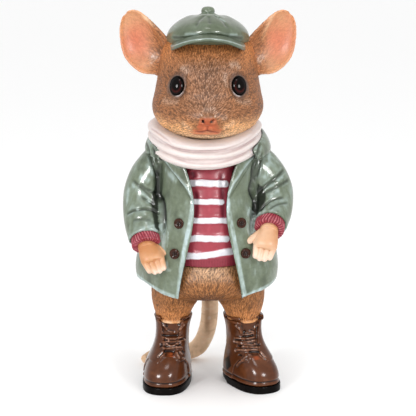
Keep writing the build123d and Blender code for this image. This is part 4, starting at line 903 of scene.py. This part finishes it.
# Dry-brushed places, which also stand as painted highlights: the line and its half width
CLOTH_BRUSH_AND_SHEEN_PX = (
    ((131, 182, 136.7, 189.7, 147.3, 197.2, 150.6, 201), 0.9),
    ((139, 177, 145, 178.4, 150, 182), 1.6),
    ((146.4, 163, 149, 169, 152.4, 176), 1.1),
    ((164.8, 168, 168.6, 174, 174, 180), 1.4),
    ((270, 152, 268.4, 160, 266, 170), 1.4),
    ((284, 176, 276, 182, 270, 187), 0.9),
    ((278, 190, 274, 194, 270, 198), 0.8),
    ((148, 199, 150, 203), 1.2),
    ((129.6, 186, 127.6, 196, 126.8, 207), 1.3),
    ((139, 176, 143.6, 178.2, 146.6, 179.6), 1.5),
    ((136, 209.4, 139, 209.8), 0.9),
    ((268.4, 170, 266.6, 174, 264, 179), 1.7),
    ((276.4, 190.4, 279.6, 191.2), 1.1),
    ((169.4, 172, 172.6, 177, 176.4, 183), 1.7),
    ((166, 260, 169, 272), 1.6),
)
# The shade under a lapel lies this many pixels below its edge
UNDER_SHIFT_PX = 1.6
# Folds of the back and of the sleeves' outer sides, on the left and mirrored on the right, and the groove
# down the middle of the back: places, half width and depth
BACK_FOLDS = (
    (((27, 12, 128), (26, 20, 118), (25, 25, 104), (27, 28, 90)), 1.6, 1.2),
    (((10, 26, 132), (13, 29, 118), (12, 31, 100)), 1.8, 0.6),
    (((44, 2, 122), (46, -4, 116), (42, -12, 112)), 1.0, 0.6),
    (((42, 8, 112), (46, 2, 107), (44, -8, 104)), 1.0, 0.6),
    (((20, 32, 84), (22, 33, 72), (23, 33, 63)), 2.0, 0.7),
)
BACK_GROOVE = (((0, 27, 128), (0, 31, 100), (0, 33, 62)), 0.7, 0.7)
# The hem rises from the front corners to the side seams
HEM_RISE = 7.6
HEM_CORNER = 17.8
HEM_RUN = 26
SLEEVE_RADIUS = 9.7


def back_folds():
    for _, side in SIDES:
        for places, half, depth in BACK_FOLDS:
            yield smooth_line(np.array(places) * (side, 1, 1)), half, depth
    places, half, depth = BACK_GROOVE
    yield smooth_line(places), half, depth


def sleeve_end(side_name):
    """The middle of a sleeve's hem, and the way the wrist points."""
    middle = middle_of(f"cuff_{side_name}")
    axis = unit(middle_of(f"hand_{side_name}") - middle)
    return middle - axis, axis


def make_coat():
    skin = skin_of(COAT_NODES, voxel=0.66, rounds=3, grow=0.22)
    x, y, z = skin.points.T
    outside = step(skin.normals[:, 0] * x + skin.normals[:, 1] * y, -4, 6)
    # broad unevenness of the modelled cloth, and the sag of the skirt into soft pleats
    skirt = step(z, 96, 66)
    wave = 0.7 * np.sin(np.arctan2(x, -y) * 7 + 0.4) * skirt + 0.45 * skin.cloud((13, 13, 22), 9)
    skin.lift(wave * outside)
    dark = np.zeros(len(x))
    for pixels, half, depth in COAT_FOLDS_PX:
        line = skin.seen(pixels)
        groove = skin.line_mask(line, half)
        lip = skin.line_mask(line, half * 2.2) - groove
        skin.lift(-depth * groove + 0.35 * depth * np.clip(lip, 0, 1))
        dark = np.maximum(dark, groove * min(1.0, 0.25 + depth * 0.45))
    for line, half, depth in back_folds():
        groove = skin.line_mask(line, half)
        skin.lift(-depth * groove + 0.3 * depth * (skin.line_mask(line, half * 2.2) - groove))
        dark = np.maximum(dark, groove * 0.6)
    notch = skin.strokes(NOTCHES_PX, 0.8, 0.05)
    lapel = skin.strokes(LAPEL_EDGES_PX, 0.8, 0.02)
    lowered = [np.reshape(line, (-1, 2)) + (0, UNDER_SHIFT_PX) for line in LAPEL_EDGES_PX]
    under = skin.strokes(lowered, 0.8, 0.02)
    collar = skin.strokes(COLLAR_EDGES_PX, 0.7, 0.05)
    skin.lift(0.6 * lapel - 0.25 * under - 1.4 * notch - 0.5 * collar)
    # the edges that the brush catches: the two fronts and the hem
    x, y, z = skin.points.T
    front_edge = np.zeros(len(x))
    for line in FRONT_EDGES_PX:
        distance, _ = skin.reach(skin.seen(line), 2.4)
        front_edge = np.maximum(front_edge, step(distance, 1.6, 0.8))
    hem_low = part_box("coat_body")[0].z / MM
    hem_level = hem_low + HEM_RISE * np.clip((np.abs(x - OPENING_SHIFT) - HEM_CORNER) / HEM_RUN, 0, 1)
    hem = step(z - hem_level, 2.3, 1.4) * outside
    folds = skin.hollows(5, 0.16)
    cloud = skin.cloud((5, 5, 8), 12)
    brush = skin.cloud((1.6, 1.6, 5), 13)
    skin.cover(GREEN)
    skin.cover(GREEN_MIST, 0.6 * step(cloud, -0.1, 0.7))
    skin.cover(GREEN_DARK, 0.4 * step(-cloud, 0.1, 0.8))
    # painted light on the cloth that faces upwards
    raised = step(skin.normals[:, 2] + 0.3 * cloud, 0.0, 0.7) * outside
    skin.cover(GREEN_TOP_LIGHT, 0.5 * raised * step(brush, -0.8, 0.5))
    skin.cover(GREEN_PALE, 0.5 * step(brush, 0.25, 0.8) * (0.3 + 0.7 * skirt) * step(cloud, -0.4, 0.3))
    skin.cover(GREEN_PALE, 0.6 * step(-folds, 0.3, 1) * step(brush, -0.7, 0.3))
    # painted shade in the hollows, deepest in the carved folds and in the notches
    skin.cover(GREEN_DARK, 0.6 * step(folds, 0.2, 0.9))
    skin.cover(GREEN_DARK, 0.9 * dark ** 0.8)
    skin.cover(GREEN_DEEP, 0.9 * step(dark, 0.62, 1.0))
    skin.cover(GREEN_DEEP, 0.9 * np.clip(notch, 0, 1))
    skin.cover(GREEN_DARK, 0.3 * under)
    edges = np.clip(front_edge + hem, 0, 1) * outside
    skin.cover(GREEN_PALE, 0.85 * step(brush, -1.0, -0.2) * edges)
    skin.cover(GREEN_PALE, 0.9 * lapel * step(brush, -1.1, -0.3))
    skin.cover(GREEN_EDGE, 0.7 * step(brush, 0.0, 0.6) * edges)
    # pale strokes, partly dry-brushing and partly painted highlights
    for line, half in CLOTH_BRUSH_AND_SHEEN_PX:
        skin.cover(GREEN_PALE, 0.75 * skin.stroke(line, half) * step(brush, -0.8, 0.1))
    for side_name, _ in SIDES:
        middle, axis = sleeve_end(side_name)
        near = np.linalg.norm(skin.points - middle, axis=1) < SLEEVE_RADIUS * 1.6
        along = (skin.points - middle) @ axis
        skin.cover(GREEN_PALE, 0.8 * near * step(along, -1.8, -0.8) * step(brush, -0.9, 0.2))
    # painted shade inside the coat
    skin.cover(GREEN_DEEP, step(outside, 0.4, 0.1) * 0.8)
    skin.piece("coat_cloth", "varnished_green", "green_cloth_paint", *COAT_NODES)


CUFF_RIBS = 34


def make_cuff(side_name):
    name = f"cuff_{side_name}"
    skin = skin_of([name], voxel=0.3, rounds=2)
    middle, axis = sleeve_end(side_name)
    offset = skin.points - middle
    aside = unit(np.cross(axis, [0.3, 0.2, 1.0]))
    ribs = np.cos(np.arctan2(offset @ aside, offset @ np.cross(axis, aside)) * CUFF_RIBS)
    skin.lift(0.2 * ribs + 0.1)
    skin.cover(RED)
    # painted shade between the ribs
    skin.cover(RED_DARK, 0.6 * step(-ribs, -0.2, 0.8))
    skin.cover(RED_PALE, 0.6 * step(ribs, 0.1, 0.9) * step(skin.grain(1.6, 4), -0.4, 0.4))
    skin.piece(f"{name}_rib", "jersey_paint", "jersey_red", name)


def make_hand(name, side):
    skin = skin_of([name], voxel=0.3, rounds=7)
    low, high = skin.points.min(0), skin.points.max(0)
    x, _, z = skin.points.T
    right = side < 0
    tip = step(z, low[2] + (7 if right else 13), low[2] + 0.5)
    clefts = skin.hollows(10, 0.12)
    across = (x - low[0]) / (high[0] - low[0])
    inward, outward = (across, 1 - across) if right else (1 - across, across)
    inner = step(inward, 0.55, 1.0)
    # the left hand is painted lighter, and paler on its inner side, as painted light
    skin.cover(HAND if right else HAND_LIT)
    skin.cover(HAND_SIDE, 0.6 * step(outward, 0.5, 1.0) * step(-clefts, -0.6, 0))
    pale = 0.0 if right else 0.55
    skin.cover(HAND_PALE, np.clip(0.9 * tip + 0.3 * skin.cloud(5, 3) + 0.3 * inner + pale * inner, 0, 1))
    skin.cover(HAND_SHADE, 0.55 * step(clefts, 0.15, 0.9))
    skin.cover(WHITE, 0.35 * step(-clefts, 0.3, 1) * tip)
    skin.piece(f"{name}_skin", "hand_paint", "hand_skin", name)


# Legs. Their fur ends in a lip that hangs over the boots' rims, and hangs lower between the thighs.
BOOT_RIM = 38.2
LIP_OUT = 0.9
WEB_DROP = 2.6


def make_legs():
    skin = skin_of(["lower_body"], voxel=0.44, rounds=18)
    x, _, z = skin.points.T
    spread = np.sign(x) * step(np.abs(x), 1, 9)
    direction = np.stack([-0.45 * spread * step(z, 50, 60), np.zeros(len(x)), -np.ones(len(x))], axis=1)
    seen = step(z, 33, 36)
    web = step(-skin.normals[:, 2], 0.2, 0.8) * hump(np.abs(x), 8.5, 4) * hump(z, 51, 4)
    skin.points[:, 2] -= WEB_DROP * web
    skin.update()
    front_lip = hump(z, BOOT_RIM, 1.5) * step(-skin.normals[:, 1], 0.1, 0.5)
    skin.lift(LIP_OUT * front_lip)
    crest, own = carve_fur(skin, direction, spacing=0.95, length=4.6, width=1.0, seed=31, ruffle=0.2)
    skin.lift(0.45 * (crest - CREST_LEVEL) * seen * (1 - front_lip))
    x, y, z = skin.points.T
    skin.cover(LEG_FUR)
    skin.cover(LEG_WARM, 0.9 * step(z, 52, 42))
    skin.cover(BELLY, step(z, 64, 74) * np.exp(-(((x - 1) / 15) ** 2)) * (y < 0))
    # painted shade between the thighs
    skin.cover(CROTCH_SHADE, 0.85 * np.exp(-((x / 11) ** 2)) * hump(z, 55, 8) * (y < 6))
    # dark between the carved strokes, light on their crests: partly paint, partly painted shade and light
    shade = 0.55 + 0.72 * crest + 0.26 * (own - 0.5)
    skin.paint *= (1 + (shade - 1) * (1 - 0.7 * front_lip))[:, None]
    skin.cover(LEG_DARK, 0.4 * step(crest, 0.28, 0.05) * (1 - front_lip))
    skin.cover(LEG_LIGHT, 0.4 * step(crest, 0.6, 0.95) * step(own, 0.2, 0.8))
    skin.cover(FUR_LIP, 0.85 * front_lip + 0.7 * step(z, 37.6, 36.8))
    skin.cover(FUR_LIP_LIGHT, 0.7 * front_lip * step(skin.grain(3, 3), 0, 0.6))
    skin.piece("leg_fur", "varnished_fur", "fur", "lower_body")


def make_tail():
    skin = skin_of(["tail"], voxel=0.45, rounds=3)
    x, y, z = skin.points.T
    # rings across the tail, which stands up behind the legs and lies along the ground
    rings = skin.grain((4, 4, 1.3), 5) * step(z, 5, 12) + skin.grain((1.3, 4, 4), 6) * step(z, 12, 5)
    patch = skin.cloud((6, 6, 12), 3)
    skin.lift(0.1 * rings)
    skin.cover(TAIL)
    skin.cover(TAIL_SHADE, 0.5 * step(np.abs(x + 0.5), 2.2, 0.4) * step(z, 14, 24) * (y < 40))
    skin.cover(TAIL_SHADE, 0.3 * step(patch, 0.1, 0.8) + 0.3 * step(-rings, 0.2, 0.9))
    # painted shade where the tail rises behind the legs
    skin.cover(TAIL_SHADOW, 0.85 * step(z, 36, 46) * step(np.abs(x + 0.5), 4.4, 2))
    skin.cover(TAIL_LIGHT, 0.35 * step(rings, 0.3, 0.9))
    skin.piece("tail_skin", "tail_paint", "tail_skin", "tail")


def make_wires():
    """The ankle pins and the tail's core, which no view shows, keep their CAD shape."""
    steel = drawn_steel("pin_steel")
    for name in ("leg_pin_right", "leg_pin_left", "tail_core_wire"):
        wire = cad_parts[name]
        wire.data.materials.clear()
        wire.data.materials.append(steel)


# Boots. Raised lines: the line, its half width and its height.
BOOT_RIDGES_PX = {
    "right": (
        ((161.4, 323.8, 163.6, 325.6, 165.6, 327.4, 167.4, 330.4), 0.7, 0.7),
        ((184.8, 323.2, 182.2, 326.4, 179.8, 329.6, 178, 333), 0.7, 0.7),
        ((167.4, 331.2, 170.6, 331.6, 173.6, 332.2, 175.4, 333.6), 0.6, 0.5),
        (
            (161.4, 336.6, 164.6, 337.8, 168, 338.8, 172, 339, 176.8, 338.6, 180, 337.4, 183.8, 336.4),
            0.7,
            0.8,
        ),
        (
            (161, 341.4, 164.6, 342.4, 168.4, 341.6, 172, 341.8, 177, 341.4, 181, 340.6, 184.4, 339.4),
            0.7,
            0.8,
        ),
        ((160.6, 345.6, 165.6, 343.8, 168.2, 345.2, 171.6, 346.4, 175.8, 344.6, 180.2, 342.6), 0.7, 0.8),
        (
            (160.2, 347.4, 163.4, 348.4, 166.6, 348.6, 171.4, 348.4, 176, 347.4, 180, 347.2, 183, 348.6),
            0.7,
            0.8,
        ),
        ((163.6, 350.6, 160.6, 354, 157.2, 357.8), 0.6, 0.8),
        ((165.6, 352.4, 162.6, 355.6, 159.6, 358.4), 0.5, 0.4),
        ((176.2, 351.6, 177.8, 355.6, 179.4, 359.4), 0.7, 0.8),
        ((178.8, 350.8, 180.6, 353, 182.4, 355), 0.5, 0.6),
        ((181, 357.6, 184.6, 359.6, 187, 362.6), 0.6, 0.5),
    ),
    "left": (
        ((235.2, 324.6, 237.2, 326.6, 239.8, 329.4, 241.8, 334), 0.7, 0.8),
        ((258.2, 323.8, 254.8, 327, 253.2, 330), 0.7, 0.7),
        ((247.8, 332.6, 250.6, 331.2, 254, 332.4), 0.6, 0.6),
        ((244.6, 335, 249.6, 334.2, 254.6, 332.6), 0.5, 0.5),
        ((234, 338, 238, 338.2, 242, 338.6, 248.4, 338.4, 252, 337.6, 256, 336.6), 0.7, 0.8),
        ((233.8, 341.2, 238, 342, 243, 342.2, 248, 341.8, 252.6, 341, 257, 340), 0.7, 0.8),
        ((238.2, 343.2, 242.8, 343.8, 248.4, 344.8, 252.6, 345.2, 254.8, 343.2), 0.7, 0.8),
        ((240, 346.6, 246, 346.8, 253.4, 347.6, 260, 347.4), 0.7, 0.8),
        ((235.2, 350.6, 238.8, 349.8, 243.6, 350.2, 249, 350.4, 254, 350, 260, 350.4), 0.7, 0.8),
        ((246.2, 353, 245.8, 356.4, 243.8, 359.4, 240, 362.4, 236.4, 366.4), 0.7, 0.9),
        ((259.8, 351.2, 262.6, 354.4, 266.2, 358.4), 0.6, 0.8),
        ((257.6, 352.6, 260.6, 356, 264.6, 359.6), 0.5, 0.4),
    ),
}
# Creases: the line and its half width
BOOT_GROOVES_PX = {
    "right": (
        ((161, 334.8, 166, 335.6, 172, 335.6, 178.4, 335.2), 0.6),
        ((163.2, 352, 166.2, 350.9, 171, 350.9, 174.6, 352.2), 0.7),
        ((165, 324.8, 168, 326.6), 0.8),
        ((177, 324.4, 180.4, 323.8), 0.8),
        ((160.2, 343.8, 163.6, 345.4), 0.7),
        ((159.6, 345.6, 162, 346.4), 0.7),
        ((178.6, 340.6, 185.4, 338), 0.6),
        ((176.6, 346.2, 181.2, 344.4), 0.6),
        ((182, 350, 185, 352.6), 0.6),
    ),
    "left": (
        ((241.6, 336.4, 246, 336.6, 253.8, 334.9), 0.7),
        ((248.2, 352.6, 251.8, 351.5, 256.4, 351.4, 259.6, 352.4), 0.7),
        ((243, 331, 245.6, 332.6), 0.9),
        ((235.4, 339.4, 241.6, 340.2), 0.6),
        ((237.2, 345.6, 242, 346.4), 0.6),
        ((257, 345.6, 260.6, 344), 0.7),
        ((238, 354.6, 242.4, 355.6), 0.6),
    ),
}
# Raised ends of the laces, painted with highlights, each as one pixel
LACE_GLINTS_PX = {
    "right": ((168.8, 340.8), (184.4, 339.3), (180.2, 343), (167.2, 344.6)),
    "left": ((234.8, 341.2), (251.8, 341), (235.8, 350.8), (254.4, 344.2)),
}
LACE_GLINT_HALF_PX = 0.7
TOE_RUB_PX = {'right': (169.6, 352.8, 171, 354.6, 170.4, 357), 'left': (256, 356, 257, 360)}
# A black patch painted on the inner side of the left boot
LEFT_BOOT_PATCH_PX = (227, 357, 227.6, 362, 229, 368)
RIM_PUSH = 2.4


def make_boot(side_name):
    names = [f"boot_{side_name}_{kind}" for kind in ("upper", "quarters", "tongue")]
    skin = skin_of(names, voxel=0.36, rounds=3, grow=0.08)
    _, y, z = skin.points.T
    crinkle = skin.cloud((7, 7, 2.6), 5) * hump(z, 27, 11)
    welt = 0.35 * hump(z, 5.2, 0.9) - 0.4 * hump(z, 6.9, 0.9)
    front = step(-skin.normals[:, 1], 0.1, 0.5)
    skin.lift(0.16 * crinkle + welt)
    skin.lift(-RIM_PUSH * step(z, BOOT_RIM, BOOT_RIM + 1) * front)
    ridges, glints, lace_glints = np.zeros((3, len(z)))
    for line, half, height in BOOT_RIDGES_PX[side_name]:
        ridge = skin.stroke(line, half)
        ridges = np.maximum(ridges, height * ridge)
        glints = np.maximum(glints, ridge)
    grooves = sum(skin.stroke(line, half) for line, half in BOOT_GROOVES_PX[side_name])
    for u, v in LACE_GLINTS_PX[side_name]:
        lace_glints = np.maximum(lace_glints, skin.stroke((u - LACE_GLINT_HALF_PX, v, u + LACE_GLINT_HALF_PX, v), 0.9, 0.01))
    skin.lift(ridges + 0.7 * lace_glints - 0.8 * np.clip(grooves, 0, 1))
    folds = skin.hollows(4, 0.09)
    patch = skin.cloud(5, 3)
    glint_noise = skin.cloud(1.6, 6)
    skin.cover(BOOT)
    skin.cover(BOOT_LIGHT, 0.3 * step(patch, 0.1, 0.8))
    skin.cover(BOOT_DARK, 0.25 * step(-patch, 0.3, 0.9))
    skin.cover(BOOT_RUB, 0.8 * skin.stroke(TOE_RUB_PX[side_name], 1.8))
    # painted shade in the creases and hollows
    skin.cover(BOOT_DARK, 0.8 * step(folds, 0.1, 0.7) + 0.8 * np.clip(grooves, 0, 1))
    # painted highlights on the ridges, the rounded parts and the lace ends
    skin.cover(BOOT_LIGHT, 0.5 * step(-folds, 0.3, 1))
    skin.cover(BOOT_GLINT, 0.6 * step(glints, 0.55, 0.95) * step(glint_noise, -0.5, 0.3) + 0.8 * step(lace_glints, 0.6, 1))
    # painted shade in the groove above the welt, and darker low at the back of the heel
    skin.cover(BOOT_DARK, 0.6 * hump(z, 7, 0.8) + 0.8 * step(z, 12, 9) * step(y, 4, 8))
    # black paint over a patch on the inner side of the left boot
    if side_name == "left":
        skin.cover(BLACK, step(skin.stroke(LEFT_BOOT_PATCH_PX, 3.2, 0.01), 0.25, 0.5))
    skin.piece(f"boot_{side_name}_leather", "boot_paint", "boot_brown", *names, f"boot_{side_name}_laces")
    name = f"boot_{side_name}_sole"
    sole = skin_of([name], voxel=0.4, rounds=2)
    sole.cover(BLACK)
    sole.cover(SOLE_DUST, 0.4 * step(sole.cloud(3, 4), 0.2, 0.9))
    sole.piece(f"{name}_rubber", "sole_paint", "sole_black", name)


# Coat buttons
HOLE_COUNT = 4
HOLE_CIRCLE = 0.75
DISH_DEPTH = 0.4


def make_coat_button(name):
    skin = skin_of([name], voxel=0.18, rounds=3)
    middle = (skin.points.max(0) + skin.points.min(0)) / 2
    outward = unit(skin.normals[np.argsort(skin.points[:, 1])[: len(skin.points) // 6]].mean(axis=0))
    offset = skin.points - middle
    flat = offset - np.outer(offset @ outward, outward)
    face = step(skin.normals @ outward, 0.3, 0.8)
    dish = step(np.linalg.norm(flat, axis=1), 2.1, 1.5) * face
    across = unit(np.cross(outward, [0.2, 0.1, 1.0]))
    holes = np.zeros(len(flat))
    for n in range(HOLE_COUNT):
        angle = pi / 4 + n * pi / 2
        spot = HOLE_CIRCLE * (across * cos(angle) + np.cross(outward, across) * sin(angle))
        holes = np.maximum(holes, step(np.linalg.norm(flat - spot, axis=1), 0.42, 0.2) * face)
    skin.lift(-DISH_DEPTH * dish - DISH_DEPTH * holes)
    skin.cover(HORN)
    # painted shade in the holes and the dish
    skin.cover(BLACK, 0.8 * holes + 0.3 * dish)
    skin.piece(f"{name}_horn", "button_paint", "button_brown", name)


# Stage, lights and camera

def make_stage():
    half = FLOOR_HALF
    mesh = bpy.data.meshes.new("floor")
    corners = [(-half, -half, 0), (half, -half, 0), (half, half, 0), (-half, half, 0)]
    mesh.from_pydata(corners, [], [(0, 1, 2, 3)])
    floor = new_object("floor", mesh)
    material, _, _ = new_material("pale_floor", {"Base Color": FLOOR_COLOUR, "Roughness": 0.6})
    mesh.materials.append(material)


def aimed(obj, place, aim):
    obj.location = place
    obj.rotation_mode = "QUATERNION"
    obj.rotation_quaternion = aim.to_track_quat("-Z", "Y")
    return obj


def make_lights():
    """Soft boxes that face the figurine, before a white backdrop."""
    for name, (place, size, watts, gloss_only) in LIGHTS.items():
        data = bpy.data.lights.new(name, "AREA")
        data.shape = "ELLIPSE"
        data.size, data.size_y = size
        data.energy = watts
        light = aimed(new_object(name, data), place, LIGHT_AIM - Vector(place))
        light.visible_diffuse = not gloss_only
    world = bpy.data.worlds.new("studio")
    world.use_nodes = True
    bpy.context.scene.world = world
    set_values(world.node_tree.nodes["Background"], {"Color": (1, 1, 1, 1), "Strength": 1.0})
    bpy.context.scene.view_settings.view_transform = "Standard"


def make_camera():
    data = bpy.data.cameras.new("camera")
    data.sensor_width = SENSOR
    data.lens = FOCAL_PX / FRAME_PX * SENSOR
    camera = aimed(new_object("camera", data), CAMERA_PLACE * MM, CAMERA_AIM - CAMERA_PLACE)
    bpy.context.scene.camera = camera


make_stage()
make_lights()
make_camera()
make_head()
for name, side in SIDES:
    make_eye(f"eye_{name}", side)
    make_ear(f"ear_{name}", side)
make_cap()
make_scarf()
make_jersey()
make_coat()
for name, side in SIDES:
    make_cuff(name)
    make_hand(f"hand_{name}", side)
    make_boot(name)
    for n in (1, 2):
        make_coat_button(f"coat_button_{name}_{n}")
make_legs()
make_tail()
make_wires()
